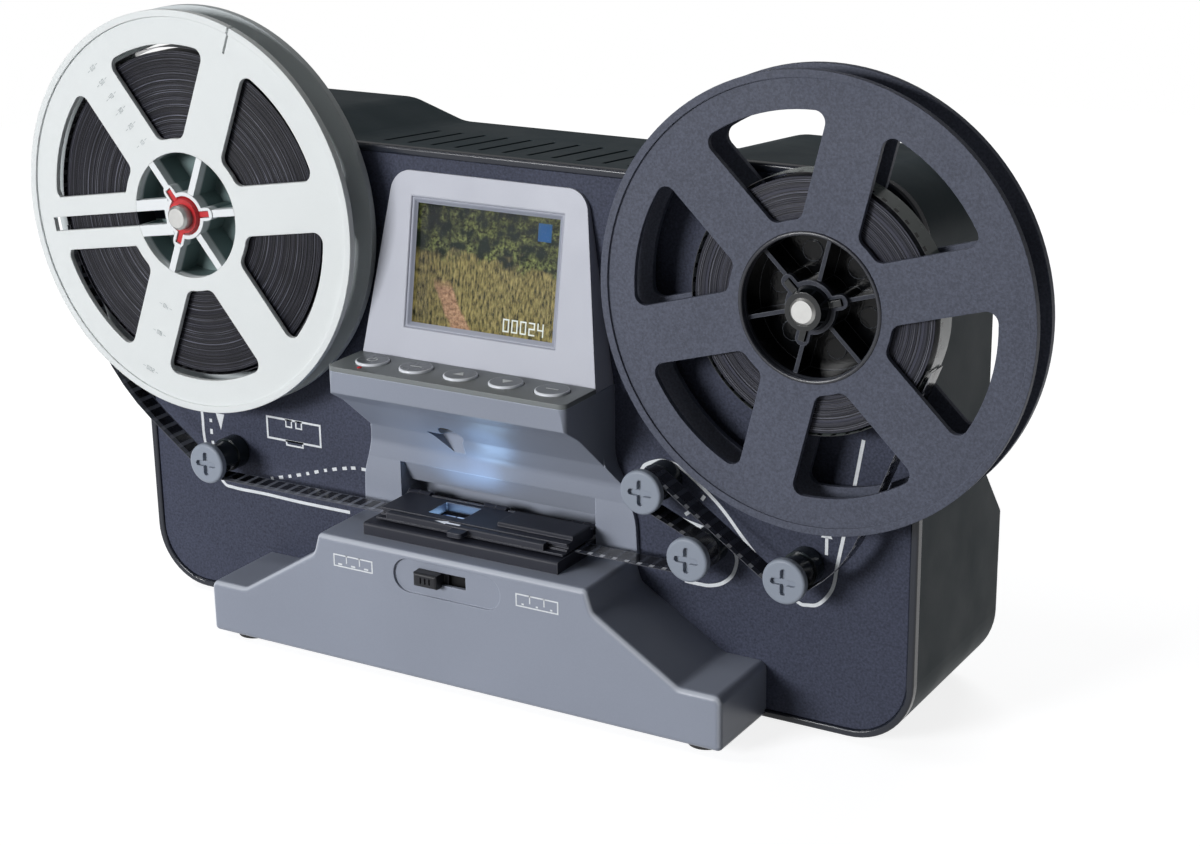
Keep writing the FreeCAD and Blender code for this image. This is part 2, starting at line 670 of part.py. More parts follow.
def rear_housing():
    wall = dims.housing_wall
    start = float(dims.trim_depth)
    rear = float(dims.housing_depth)
    outside = made("housing_outside", Part.makeLoft(
        [body_wire(0, 0, start), body_wire(0, dims.top_fall, rear)], True, True))
    outside = rounded("housing_rounded", outside, dims.rear_round, lambda edge: edge.YMin > rear - 1e-3)
    inner_rear = rear - float(wall)
    fall = float(dims.top_fall) * (inner_rear - start + 1) / (rear - start)
    rise = -float(dims.top_fall) / (rear - start)
    inside = made("housing_inside", Part.makeLoft(
        [body_wire(wall, rise, start - 1), body_wire(wall, fall, inner_rear)], True, True))
    outer = cut("housing_outer", outside, *corner_cuts("corner_cut", size(0)))
    cavity = cut("housing_cavity", inside, *corner_cuts("cavity_cut", wall))
    shell = cut("housing_shell", outer, cavity)
    post_end = dims.housing_depth - wall / 2
    posts = [
        rod(f"housing_post{i}", "Y", (x, z), dims.boss_split, post_end, POST_RADIUS)
        for i, (x, z) in enumerate(both_sides(POST_PLACES))
    ]
    standoffs = [
        rod(f"board_post{i}", "Y", (x, z), dims.board_depth + dims.board_thickness, post_end, 3)
        for i, (x, z) in enumerate(both_sides(BOARD_POSTS))
    ]
    holes = []
    for i, (x, z) in enumerate(both_sides(POST_PLACES)):
        shank = dims.screw_radius + 0.2
        holes.append(rod(f"screw_hole{i}", "Y", (x, z), dims.boss_split - 1, SCREW_HEAD_START, shank))
        recess = size(SCREW_HEAD_RADIUS) + 0.3
        holes.append(rod(f"screw_recess{i}", "Y", (x, z), SCREW_HEAD_START, dims.housing_depth + 1, recess))
    for i in range(int(float(dims.vent_count))):
        middle = dims.vent_pitch * (i - (float(dims.vent_count) - 1) / 2)
        holes.append(box(
            f"vent{i}",
            (middle - dims.vent_width / 2, middle + dims.vent_width / 2),
            (dims.vent_front, dims.vent_front + dims.vent_length),
            (dims.waist_height - dims.top_fall - wall - 2, dims.waist_height + 2),
        ))
    for name, _, x, z in CONNECTORS:
        gap = dims.slide_gap * 2
        holes.append(box(
            f"{name}_hole", (x[0] - gap, x[1] + gap), (inner_rear - 1, dims.housing_depth + 1),
            (z[0] - gap, z[1] + gap),
        ))
    body = fuse("housing_with_posts", shell, *posts, *standoffs)
    node("rear_housing", cut("housing", body, *holes))


def panel_and_trim():
    ring = cut(
        "trim_ring",
        body_slab("trim_outside", size(0), -dims.trim_proud, dims.trim_depth),
        body_slab("trim_inside", dims.trim_width, -dims.trim_proud - 1, dims.trim_depth + 1),
    )
    front = -float(dims.trim_proud)
    node("panel_trim", rounded("trim", ring, dims.trim_proud - 0.1, lambda edge: edge.YMax < front + 1e-3))

    inset = dims.trim_width + dims.panel_gap
    panel = body_slab("panel_plate", inset, 0, dims.panel_thickness)
    bosses = [
        rod(f"panel_boss{i}", "Y", (x, z), dims.panel_thickness / 2, dims.boss_split, POST_RADIUS - 0.5)
        for i, (x, z) in enumerate(both_sides(POST_PLACES))
    ]
    holes = [
        rod(f"boss_bore{i}", "Y", (x, z), dims.panel_thickness + 2, dims.boss_split + 1,
            dims.screw_radius + dims.running_gap)
        for i, (x, z) in enumerate(both_sides(POST_PLACES))
    ]
    through = (size(-1), dims.panel_thickness + 1)
    liner = dims.bay_half_width + dims.bay_wall + 0.3
    holes += [
        box("bay_cut", (-liner, liner), through,
            (dims.deck_height - dims.bay_wall - 0.4, dims.bay_top + dims.bay_wall + 1.5)),
        box("screen_cut", (-dims.screen_width / 2 - 4, dims.screen_width / 2 + 4), through,
            (dims.head_top + dims.screen_foot - 4.5,
             dims.head_top + dims.screen_foot + dims.screen_length + 3.5)),
        box("base_cable_cut", (-20, 20), through, (15, dims.deck_height - 6.6)),
        box("head_cable_cut", (-25, 25), through, (dims.brow_height + 3, dims.head_top - 3)),
    ]
    for i, (x, z) in enumerate(SPINDLES):
        holes.append(rod(f"bush_hole{i}", "Y", (x, z), -1, dims.panel_thickness + 1,
                         dims.bush_radius + dims.running_gap))
    for i, (x, z) in enumerate(ROLLERS.values()):
        holes.append(rod(f"post_hole{i}", "Y", (x, z), -1, dims.panel_thickness + 1,
                         dims.post_radius + dims.running_gap))
    node("front_panel", cut("panel", fuse("panel_with_bosses", panel, *bosses), *holes))


def housing_screws():
    screws = []
    for i, (x, z) in enumerate(both_sides(POST_PLACES)):
        shank = rod(f"screw_shank{i}", "Y", (x, z), dims.panel_thickness + 3, SCREW_HEAD_START + 0.5,
                    dims.screw_radius)
        head = rod(f"screw_head{i}", "Y", (x, z), SCREW_HEAD_START, SCREW_HEAD_START + SCREW_HEAD_LENGTH,
                   SCREW_HEAD_RADIUS)
        slot = box(f"screw_slot{i}", (x - SCREW_SLOT[0] / 2, x + SCREW_SLOT[0] / 2),
                   (SCREW_HEAD_START + SCREW_HEAD_LENGTH / 2, SCREW_HEAD_START + SCREW_HEAD_LENGTH + 1),
                   (z - SCREW_SLOT[1] / 2, z + SCREW_SLOT[1] / 2))
        screws.append(cut(f"screw{i}", fuse(f"screw_blank{i}", shank, head), slot))
    node("housing_screws", group("screws", *screws))


def plinth_outline(inset, floor):
    """The plinth seen from the front, drawn in by an inset everywhere but at its floor."""
    run = dims.slope_foot - dims.slope_head
    rise = dims.slope_head_height - dims.shelf_height
    length = diagonal(run, rise)
    foot = dims.slope_foot - (length - run) / rise * inset
    head = dims.slope_head - inset
    head_height = dims.shelf_height + (dims.slope_foot - head) * rise / run - length / run * inset
    return mirrored([
        (dims.base_half_width - inset, floor),
        (dims.base_half_width - inset, dims.shelf_height - inset),
        (foot, dims.shelf_height - inset),
        (head, head_height),
        (dims.deck_half_width - inset, dims.deck_height - inset),
    ])


def window_span():
    """The light window in the deck and the tray, across the body."""
    half = dims.gate_window_width / 2
    return (-dims.gate_window_x - half, -dims.gate_window_x + half)


def film_front():
    return -dims.film_middle - dims.film_width / 2


def light_opening():
    """The hole in the deck that the gate is lit through, along the depth."""
    margin = 1.2
    return film_front() - margin, film_front() + dims.film_width + margin


def below_deck(low, high):
    return dims.deck_height - low, dims.deck_height - high


SWITCH_SLOT = (-11.0, 6.2)
SWITCH_SLOT_HEIGHT = below_deck(8.8, 4.7)
SWITCH_RECESS = (-20.0, 19.0)
SWITCH_RECESS_HEIGHT = below_deck(13.2, 2.2)
SWITCH_RECESS_DEPTH = 0.8
KNOB_WIDTH = 8.5
KNOB_HEIGHT = below_deck(9.4, 4.9)


def base_plinth():
    wall = dims.base_wall
    radii = [1.5, 2.5, 4, 4, 2]
    block = profile(
        "plinth_block", "front", plinth_outline(size(0), dims.base_floor), -dims.base_depth, 0,
        list(enumerate(radii + radii[::-1])), dims.base_round,
    )
    cavity = profile(
        "plinth_cavity", "front", plinth_outline(wall, dims.base_floor - 1), wall - dims.base_depth, 1)
    middle = (SWITCH_RECESS_HEIGHT[0] + SWITCH_RECESS_HEIGHT[1]) / 2
    radius = (SWITCH_RECESS_HEIGHT[1] - SWITCH_RECESS_HEIGHT[0]) / 2
    floor = SWITCH_RECESS_DEPTH - dims.base_depth
    front = -dims.base_depth - 1
    recess = fuse(
        "switch_recess",
        box("switch_recess_middle", (SWITCH_RECESS[0] + radius, SWITCH_RECESS[1] - radius), (front, floor),
            SWITCH_RECESS_HEIGHT),
        rod("switch_recess_left", "Y", (SWITCH_RECESS[0] + radius, middle), front, floor, radius),
        rod("switch_recess_right", "Y", (SWITCH_RECESS[1] - radius, middle), front, floor, radius),
    )
    slot = box("switch_slot", SWITCH_SLOT, (-dims.base_depth, wall - dims.base_depth + 1), SWITCH_SLOT_HEIGHT)
    window = box("deck_window", window_span(), light_opening(),
                 (dims.deck_height - wall - 1, dims.deck_height + 1))
    # The bead under the plinth's rear edge stands in front of the panel.
    bead_front = -dims.trim_proud - dims.slide_gap
    side = dims.base_half_width + 1
    bead_room = box("bead_room", (-side, side), (bead_front, 1),
                    (dims.base_floor - 1, dims.body_floor + dims.trim_width + dims.slide_gap))
    node("base_plinth", cut("plinth", block, cavity, recess, slot, window, bead_room))

    edge = wall + dims.slide_gap
    side = dims.base_half_width - edge
    node("base_cover", box("cover", (-side, side), (edge - dims.base_depth, bead_front),
                           (dims.base_floor, dims.base_floor + dims.cover_thickness)))


def rubber_feet():
    feet = []
    for i, sign in enumerate((-1, 1)):
        feet.append(cone(f"front_foot{i}", "Z", (sign * dims.front_foot_x, -dims.front_foot_y), 0,
                         dims.base_floor, dims.foot_radius - 0.4, dims.foot_radius))
        feet.append(cone(f"rear_foot{i}", "Z", (sign * dims.rear_foot_x, dims.rear_foot_y), 0,
                         dims.body_floor, dims.foot_radius - 0.4, dims.foot_radius))
    node("rubber_feet", group("feet", *feet))


def format_switch():
    gap = dims.slide_gap
    recess_floor = SWITCH_RECESS_DEPTH - dims.base_depth
    wall_back = dims.base_wall - dims.base_depth
    neck_right = SWITCH_SLOT[1] - gap - dims.switch_travel
    front = -dims.base_depth - dims.switch_proud
    grip = box("knob_grip", (neck_right - KNOB_WIDTH, neck_right), (front, recess_floor - gap), KNOB_HEIGHT)
    grip_front = float(front)
    grip = rounded("knob_rounded", grip, 0.8, lambda edge: edge.YMax < grip_front + 1e-3)
    grooves = []
    for i in range(3):
        right = neck_right - 2.1 - 1.6 * i
        grooves.append(box(f"knob_groove{i}", (right - 0.6, right), (front - 1, front + 0.5),
                           (KNOB_HEIGHT[0] + 1.2, KNOB_HEIGHT[1] - 1.2)))
    neck = box("knob_neck", (SWITCH_SLOT[0] + gap, neck_right), (recess_floor - gap - 0.5, wall_back + gap),
               (SWITCH_SLOT_HEIGHT[0] + gap, SWITCH_SLOT_HEIGHT[1] - gap))
    keeper = box("knob_keeper", (SWITCH_SLOT[0] - 1.5, neck_right + 1.5), (wall_back + gap, wall_back + 1),
                 (SWITCH_SLOT_HEIGHT[0] - 1.2, SWITCH_SLOT_HEIGHT[1] + 1.2))
    node("format_switch", fuse("knob", cut("knob_front", grip, *grooves), neck, keeper))
    node("switch_block", box("block", (-14, 9), (wall_back + 1.2, wall_back + 6.5),
                             (dims.deck_height - 11.6, dims.deck_height - dims.base_wall)))


LENS_RADIUS = 3.4
LENS_FLANGE_RADIUS = 5.5


def camera_board_height():
    """The camera's board lies above the slope that its lens looks through."""
    return dims.brow_height + 12.7


def console_body():
    column = dims.column_proud
    head = dims.head_half_width
    side_outline = [
        (0, dims.deck_height),
        (-column, dims.deck_height),
        (-column, dims.bay_top),
        (-column - 0.9, dims.bay_top + 6),
        (-dims.brow_depth, dims.brow_height),
        (7.7 - dims.head_depth, dims.head_chin - 4.4),
        (0.6 - dims.head_depth, dims.head_chin),
        (-dims.head_depth, dims.head_top),
        (0, dims.head_top),
    ]
    side = profile("console_side", "side", side_outline, -60, 60, [(3, 6), (4, 6), (5, 12), (6, 0.8)])
    foot = dims.column_half_width
    front = profile("console_front", "front", mirrored([
        (foot, dims.deck_height),
        (foot - 0.5, dims.bay_top - 5),
        (head + 3.9, dims.bay_top + 6),
        (head, dims.brow_height + 0.2),
        (head, dims.head_top),
    ]), -40, 1, [(1, 20), (2, 20), (3, 12), (6, 12), (7, 20), (8, 20)])
    plan = profile("console_plan", "plan", [
        (-60, 1), (-60, -7), (-head, -7), (-head, -dims.head_depth),
        (head, -dims.head_depth), (head, -7), (60, -7), (60, 1),
    ], dims.deck_height - 4.6, dims.head_top + 11.3, [(3, dims.head_corner), (4, dims.head_corner)])
    shape = common("console_block", side, front, plan)

    bay = dims.bay_half_width
    liner_side = bay + dims.bay_wall
    liner = box("bay_liner", (-liner_side, liner_side), (0, dims.bay_depth + dims.bay_wall),
                (dims.deck_height - dims.bay_wall, dims.bay_top + dims.bay_wall))
    lip = dims.bay_top - dims.bay_lip_drop
    bay_void = profile("bay_void", "side", [
        (-5, dims.deck_height), (-5, dims.bay_top), (0, dims.bay_top), (dims.bay_lip_depth, lip),
        (dims.bay_depth, lip), (dims.bay_depth, dims.deck_height),
    ], -bay, bay)

    wall = dims.head_wall
    inner = head - wall - 0.2
    cavity = profile("head_cavity", "side", [
        (1, dims.brow_height - 1.5),
        (1.9 - dims.brow_depth, dims.brow_height + 2.7),
        (8.5 - dims.head_depth, dims.head_chin - 1.8),
        (wall + 0.4 - dims.head_depth, dims.head_chin + wall),
        (wall - dims.head_depth, dims.head_top + 1),
        (-12, dims.head_top + 1),
        (-12, dims.head_top - wall),
        (1, dims.head_top - wall),
    ], -inner, inner)

    # The lens looks down through a notch in the slope.
    lens = (-dims.gate_window_x, -dims.film_middle)
    notch_top = dims.brow_height + 1.5
    notch = profile(
        "lens_notch", "front", [(-20, notch_top), (-8, notch_top), (-10.5, dims.bay_top + 3.5)], -16, -3.2)
    lens_hole = rod("lens_hole", "Z", lens, notch_top - 6.8, notch_top + 9.2, LENS_RADIUS + 0.4)
    ledges = [
        box(f"board_ledge{i}", (sign * 38 - 3, sign * 38 + 3), (-24, -14),
            (dims.head_top - 7.7, dims.head_top - 6.3))
        for i, sign in enumerate((-1, 1))
    ]
    bosses = [
        rod(f"camera_boss{i}", "Z", (x, -12), camera_board_height() - 6, camera_board_height(), 2)
        for i, x in enumerate((-19.5, -1.5))
    ]
    hollow = cut("console_hollow", fuse("console_solid", shape, liner), bay_void, cavity, notch, lens_hole)
    cable = box("screen_cable_hole", (-12, 12), (-7, -2), (dims.head_top - wall - 1, dims.head_top + 1))
    node("console_body", cut("console", fuse("console_fitted", hollow, *ledges, *bosses), cable))


def camera():
    lens = (-dims.gate_window_x, -dims.film_middle)
    board = camera_board_height()
    flange_foot = board - 1.5
    hood = board - 6.5
    node("camera_lens_barrel", fuse(
        "lens",
        tube("lens_hood", "Z", lens, hood - 1.5, hood, LENS_RADIUS, LENS_RADIUS - 1),
        rod("lens_barrel", "Z", lens, hood, flange_foot, LENS_RADIUS),
        rod("lens_flange", "Z", lens, flange_foot, board, LENS_FLANGE_RADIUS),
    ))
    node("camera_board", box("sensor_board", (lens[0] - 11.5, lens[0] + 11.5), (-17, -1),
                             (board, board + 1.2)))


STATUS_PLACE = (-32.1, -25.8)


def button_x(number):
    return dims.button_pitch * (number - (float(dims.button_count) - 1) / 2)


def button_plate():
    head = dims.head_half_width
    back = -dims.bezel_depth - dims.slide_gap * 2
    top = dims.head_top + dims.button_plate_thickness
    plate = profile("plate_blank", "plan", [
        (-head, back), (-head, -dims.head_depth), (head, -dims.head_depth), (head, back),
    ], dims.head_top, top, [(1, dims.head_corner), (2, dims.head_corner)])
    low = dims.head_top - 1
    high = top + 1
    holes = [
        rod(f"button_hole{i}", "Z", (button_x(i), -dims.button_row), low, high,
            dims.button_radius + dims.button_clearance)
        for i in range(int(float(dims.button_count)))
    ]
    holes.append(rod("status_hole", "Z", STATUS_PLACE, low, high, 0.75 + dims.running_gap))
    node("button_plate", cut("plate", plate, *holes))
    node("status_led", fuse(
        "status_light",
        rod("status_pipe", "Z", STATUS_PLACE, dims.head_top - 1, top + 0.2, 0.75),
        rod("status_collar", "Z", STATUS_PLACE, dims.head_top - 1, dims.head_top - dims.slide_gap, 0.95),
    ))


def buttons():
    top = dims.head_top + dims.button_plate_thickness + dims.button_proud
    board = dims.head_top - 6.3
    board_top = board + 1.2
    stem_foot = board_top + 1.6 + dims.button_travel
    for i in range(int(float(dims.button_count))):
        spot = (button_x(i), -dims.button_row)
        cap = rod(f"button_cap{i}", "Z", spot, dims.head_top - 1.2, top, dims.button_radius)
        crown = float(top)
        cap = rounded(f"button_crown{i}", cap, 0.5, lambda edge: edge.ZMin > crown - 1e-3)
        flange_top = dims.head_top - dims.slide_gap * 2
        flange = rod(f"button_flange{i}", "Z", spot, dims.head_top - 1.4, flange_top,
                     dims.button_radius + 0.55)
        stem = rod(f"button_stem{i}", "Z", spot, stem_foot, dims.head_top - 1, 2)
        node(f"button_{i + 1}", fuse(f"button{i}", cap, flange, stem))
    switches = []
    for i in range(int(float(dims.button_count))):
        x = button_x(i)
        y = -dims.button_row
        switches.append(box(f"tact_body{i}", (x - 2.5, x + 2.5), (y - 2.5, y + 2.5),
                            (board_top - 0.2, board_top + 0.9)))
        switches.append(rod(f"tact_plunger{i}", "Z", (x, y), board_top + 0.5, board_top + 1.5, 1.2))
    plate = box("button_board_plate", (-36, 36), (-24, -14), (board, board_top))
    node("button_board", fuse("button_circuit", plate, *switches))


def screen():
    foot = dims.head_top
    tilt = dims.screen_tilt
    lean = dims.bezel_height * sine(tilt) / cosine(tilt)
    wedge = profile("bezel_wedge", "side", [
        (-dims.bezel_depth, foot), (lean - dims.bezel_depth, foot + dims.bezel_height),
        (0, foot + dims.bezel_height), (0, foot),
    ], -50, 50)
    outline = profile("bezel_front", "front", mirrored([
        (dims.bezel_foot_half_width, foot), (dims.bezel_top_half_width, foot + dims.bezel_height),
    ]), -40, 1, [(1, dims.bezel_corner), (2, dims.bezel_corner)])
    half = dims.screen_width / 2
    low = dims.screen_foot
    high = low + dims.screen_length
    lip = dims.screen_lip
    module = lip + dims.window_thickness + 0.2

    def opening(name, margin, depth):
        return leaning_box(name, (-half - margin, half + margin), (low - margin, high + margin), depth)

    frame = cut(
        "bezel_frame", common("bezel_block", wedge, outline),
        opening("screen_opening", size(0), (-3, lip + 1)),
        opening("window_seat", size(0.9), (lip, module)),
        opening("module_seat", size(2.4), (module, module + 25)),
    )

    def on_opening(edge):
        inside = abs(edge.XMin) < float(half) + 0.1 and abs(edge.XMax) < float(half) + 0.1
        front = edge.YMin > -float(dims.bezel_depth) + 0.05
        return inside and front and edge.DiagonalLength > 30 and near_front(edge)

    def near_front(edge):
        rise = edge.ZMin - float(foot)
        return abs(edge.YMin - (rise * math.tan(math.radians(float(tilt))) - float(dims.bezel_depth))) < 0.02

    frame = rounded("bezel_softened", frame, 0.6, on_opening)
    node("lcd_bezel", frame)
    node("lcd_window", opening("window_pane", size(0.8), (lip, lip + dims.window_thickness)))
    node("lcd_module", opening("module_block", size(2.2), (module, module + dims.module_depth)))


GATE_EARS = ((-29.8, -25.8), (-5.2, -1.2), (26.8, 30.8))
GATE_KNUCKLES = ((-34.0, -30.0), (-1.0, 3.0), (31.0, 35.0))
HINGE_PIN = (-34.5, 35.3)
LATCH_TAB = (-4.0, 1.5)
LATCH_TAB_REACH = 4.2


def hinge_loops(name, spans, web, bore):
    """Knuckles on the gate's hinge, each with its web."""
    centre = (dims.hinge_back, gate_hinge_height())
    solids = []
    for i, span in enumerate(spans):
        solids.append(rod(f"{name}_knuckle{i}", "X", centre, span[0], span[1], dims.hinge_radius))
        solids.append(box(f"{name}_web{i}", span, web[0], web[1]))
    holes = [
        rod(f"{name}_bore{i}", "X", centre, span[0] - 1, span[1] + 1, bore)
        for i, span in enumerate(spans)
    ]
    return solids, holes


def gate():
    top = tray_top()
    side = dims.tray_half_width
    window = window_span()
    film = (film_front(), film_front() + dims.film_width)
    aperture = (film[0] - 0.4, film[1] + 0.4)
    pocket_x = (window[0] - 1.5, window[1] + 1.5)
    pocket_y = (aperture[0] - 1.5, aperture[1] + 1.5)
    pocket_top = dims.deck_height + 1.6
    plate = box("tray_plate", (-side, side), (-dims.tray_front, dims.bay_depth - 0.5),
                (dims.deck_height, top))
    corner_front = -float(dims.tray_front)
    low = float(dims.deck_height) + 1
    plate = rounded("tray_rounded", plate, 1.0,
                    lambda edge: edge.YMax < corner_front + 1e-3 and edge.ZMin > low)
    hinge = dims.hinge_back
    web = ((hinge - dims.hinge_radius, hinge + dims.hinge_radius), (top - 0.5, gate_hinge_height()))
    ears, bores = hinge_loops("ear", GATE_EARS, web, dims.pin_radius)
    tray = cut(
        "tray", fuse("tray_with_ears", plate, *ears), *bores,
        box("tray_window", window, aperture, (dims.deck_height - 1, top + 1)),
        box("diffuser_pocket", pocket_x, pocket_y, (dims.deck_height - 1, pocket_top)),
    )
    node("gate_tray", tray)
    gap = dims.slide_gap
    node("light_diffuser", box(
        "diffuser", (pocket_x[0] + gap, pocket_x[1] - gap), (pocket_y[0] + gap, pocket_y[1] - gap),
        (dims.deck_height + gap / 2, pocket_top - gap / 2)))
    node("gate_hinge_pin", rod("hinge_pin", "X", (hinge, gate_hinge_height()), *HINGE_PIN, dims.pin_radius))

    under = door_underside()
    door_top = under + dims.door_thickness
    span = (-dims.door_left, dims.door_right)
    slab = box("door_slab", span, (-dims.door_front, -dims.door_rear), (under, door_top))
    raised = box("door_raised", (8.5, dims.door_right), (film[0], -3), (door_top - 0.5, door_top + 1.4))
    raised_top = float(door_top) + 1.4
    raised = rounded("door_raised_soft", raised, 0.5, lambda edge: edge.ZMin > raised_top - 1e-3)
    ledge = box("door_ledge", span, (-dims.door_front - 2.6, 0.5 - dims.door_front), (under, under + 0.6))
    web = ((-dims.door_rear - 0.5, hinge), (under + 0.4, under + 2.4))
    loops, bores = hinge_loops("door", GATE_KNUCKLES, web, dims.pin_radius + dims.running_gap)
    window_y = (aperture[0] + 0.2, aperture[1] + 1.6)
    door_window = box("door_window", (window[0] - 0.5, window[1] + 0.5), window_y, (under - 1, door_top + 1))
    groove = box("latch_groove", (span[0] - 1, span[1] + 1), (-dims.door_front - 1, 1 - dims.door_front),
                 (under + 1.2, under + 2.2))
    door = cut("door", fuse("door_solid", slab, raised, ledge, *loops), *bores, door_window, groove)
    node("gate_door", door)

    latch_x = (-dims.door_left + dims.latch_travel - 0.2, dims.door_right - 6.7)
    bar_front = -dims.door_front - 2.6
    bar_back = -dims.door_front - gap
    bar = box("latch_bar", latch_x, (bar_front, bar_back), (under + 0.6 + gap, under + 2.7))
    bar_top = float(under) + 2.7
    bar_edge = float(bar_front)
    bar = rounded("latch_soft", bar, 0.4,
                  lambda edge: edge.ZMin > bar_top - 1e-3 and edge.YMax < bar_edge + 1e-3)
    tongue = box("latch_tongue", latch_x, (bar_back - 0.5, 1 - dims.door_front - gap),
                 (under + 1.3, under + 2.1))
    tab_front = bar_front - LATCH_TAB_REACH
    tab = box("latch_tab", LATCH_TAB, (tab_front, bar_front + 1), (under + 0.7, under + 2.2))
    tab_edge = float(tab_front)
    tab = rounded("latch_tab_soft", tab, 1.2, lambda edge: edge.YMax < tab_edge + 1e-3 and edge.ZLength > 1)
    node("gate_latch", fuse("latch", bar, tongue, tab))


def backlight():
    margin = 3.5
    x = (window_span()[0] - margin, window_span()[1] + margin)
    y = (light_opening()[0] - 2.5, light_opening()[1] + 2.5)
    wall = 1.2
    top = dims.deck_height - dims.base_wall
    case = box("light_case", x, y, (top - 6.4, top))
    hollow = box("light_hollow", (x[0] + wall, x[1] - wall), (y[0] + wall, y[1] - wall), (top - 5, top + 1))
    emitter = rod("light_emitter", "Z", (-dims.gate_window_x, -dims.film_middle), top - 5.5, top - 4, 2)
    node("backlight_box", fuse("light_box", cut("light_shell", case, hollow), emitter))


def reel_back_level():
    """The rear face of a reel, which rests on the spindle's shoulder."""
    return -dims.seat_clearance - dims.seat_thickness


def reel_levels():
    """Rear and front faces of the back flange, then rear and front faces of the front flange."""
    rear = reel_back_level()
    inner_rear = rear - dims.flange_thickness
    inner_front = inner_rear - dims.reel_gap
    return rear, inner_rear, inner_front, inner_front - dims.flange_thickness


def ring_sketch(body, name, level, outer, inner):
    sketch = sketch_on(body, name, "front", level)
    for radius in (outer, inner):
        circle = sketch.addGeometry(Part.Circle(Vector(), Vector(0, 0, 1), float(radius)), False)
        sketch.addConstraint(Sketcher.Constraint("Coincident", circle, 3, -1, 1))
        bind_last(sketch, Sketcher.Constraint("Radius", circle, float(radius)), size(radius))
    return sketch


def window_sketch(body, name, level, spoke):
    """One flange window: two arcs, and two sides that run along the spokes beside it."""
    inner = dims.window_inner
    outer = dims.window_outer
    ends = {}
    for key, radius in (("inner", inner), ("outer", outer)):
        angle = 30 - math.degrees(math.asin(float(spoke) / 2 / float(radius)))
        ends[key] = [
            Vector(float(radius) * math.cos(math.radians(a)), float(radius) * math.sin(math.radians(a)), 0)
            for a in (-angle, 0, angle)
        ]
    sketch = sketch_on(body, name, "front", level)
    low, middle, high = ends["outer"]
    outer_arc = sketch.addGeometry(Part.Arc(low, middle, high), False)
    low_side = sketch.addGeometry(Part.LineSegment(ends["inner"][0], low), False)
    high_side = sketch.addGeometry(Part.LineSegment(ends["inner"][2], high), False)
    inner_arc = sketch.addGeometry(Part.Arc(*ends["inner"]), False)
    for arc, radius in ((outer_arc, outer), (inner_arc, inner)):
        sketch.addConstraint(Sketcher.Constraint("Coincident", arc, 3, -1, 1))
        bind_last(sketch, Sketcher.Constraint("Radius", arc, float(radius)), radius)
    for side, end in ((low_side, 1), (high_side, 2)):
        sketch.addConstraint(Sketcher.Constraint("Coincident", side, 1, inner_arc, end))
        sketch.addConstraint(Sketcher.Constraint("Coincident", side, 2, outer_arc, end))
        bind_last(sketch, Sketcher.Constraint("Distance", -1, 1, side, float(spoke) / 2), spoke / 2)
    for side, angle in ((low_side, -30), (high_side, 30)):
        sketch.addConstraint(Sketcher.Constraint("Angle", side, math.radians(angle)))
    return sketch


def flange(name, level, rim_outward, hole, spoke):
    """A reel flange with six windows and a raised rim, its rear face at a level."""
    front = level - dims.flange_thickness
    body = doc.addObject("PartDesign::Body", name)
    plate = ring_sketch(body, f"{name}_plate", front, dims.reel_radius, hole)
    pad_from(body, f"{name}_plate_pad", plate, "front", dims.flange_thickness)
    rim_front = front - dims.rim_proud if rim_outward < 0 else level - 0.2
    rim = ring_sketch(body, f"{name}_rim", rim_front, dims.reel_radius, dims.reel_radius - dims.rim_width)
    pad_from(body, f"{name}_rim_pad", rim, "front", dims.rim_proud + 0.2)
    windows = body.newObject("PartDesign::Pocket", f"{name}_window")
    windows.Profile = window_sketch(body, f"{name}_window_outline", level, spoke)
    windows.Type = "ThroughAll"
    windows.Midplane = True
    doc.recompute()
    round_windows = body.newObject("PartDesign::PolarPattern", f"{name}_windows")
    round_windows.Originals = [windows]
    round_windows.Axis = (windows.Profile[0], ["N_Axis"])
    round_windows.Angle = 360
    round_windows.Occurrences = 6
    body.Tip = round_windows
    doc.recompute()
    thickness = float(dims.flange_thickness)

    def window_corner(edge):
        box = edge.BoundBox
        return box.XLength < 1e-3 and box.ZLength < 1e-3 and abs(box.YLength - thickness) < 1e-3

    round_feature(body, f"{name}_window_corners", round_windows, dims.window_corner, window_corner)
    return body


def radial_bar(name, centre, angle, reach, width, levels):
    """A bar along a direction from a centre, as a box turned about Y."""
    bar = doc.addObject("Part::Box", name)
    bar.setExpression("Length", (size(reach[1]) - reach[0]).formula)
    bar.setExpression("Width", (size(levels[1]) - levels[0]).formula)
    bar.setExpression("Height", size(width).formula)
    x = centre[0] + reach[0] * cosine(angle) + size(width) / 2 * sine(angle)
    z = centre[1] + reach[0] * sine(angle) - size(width) / 2 * cosine(angle)
    place(bar, x, levels[0], z, FreeCAD.Rotation(Vector(0, -1, 0), float(angle)))
    bar.setExpression("Placement.Rotation.Angle", angle.formula)
    return bar


def key_angles(angle):
    return [angle + 120 * i for i in range(3)]


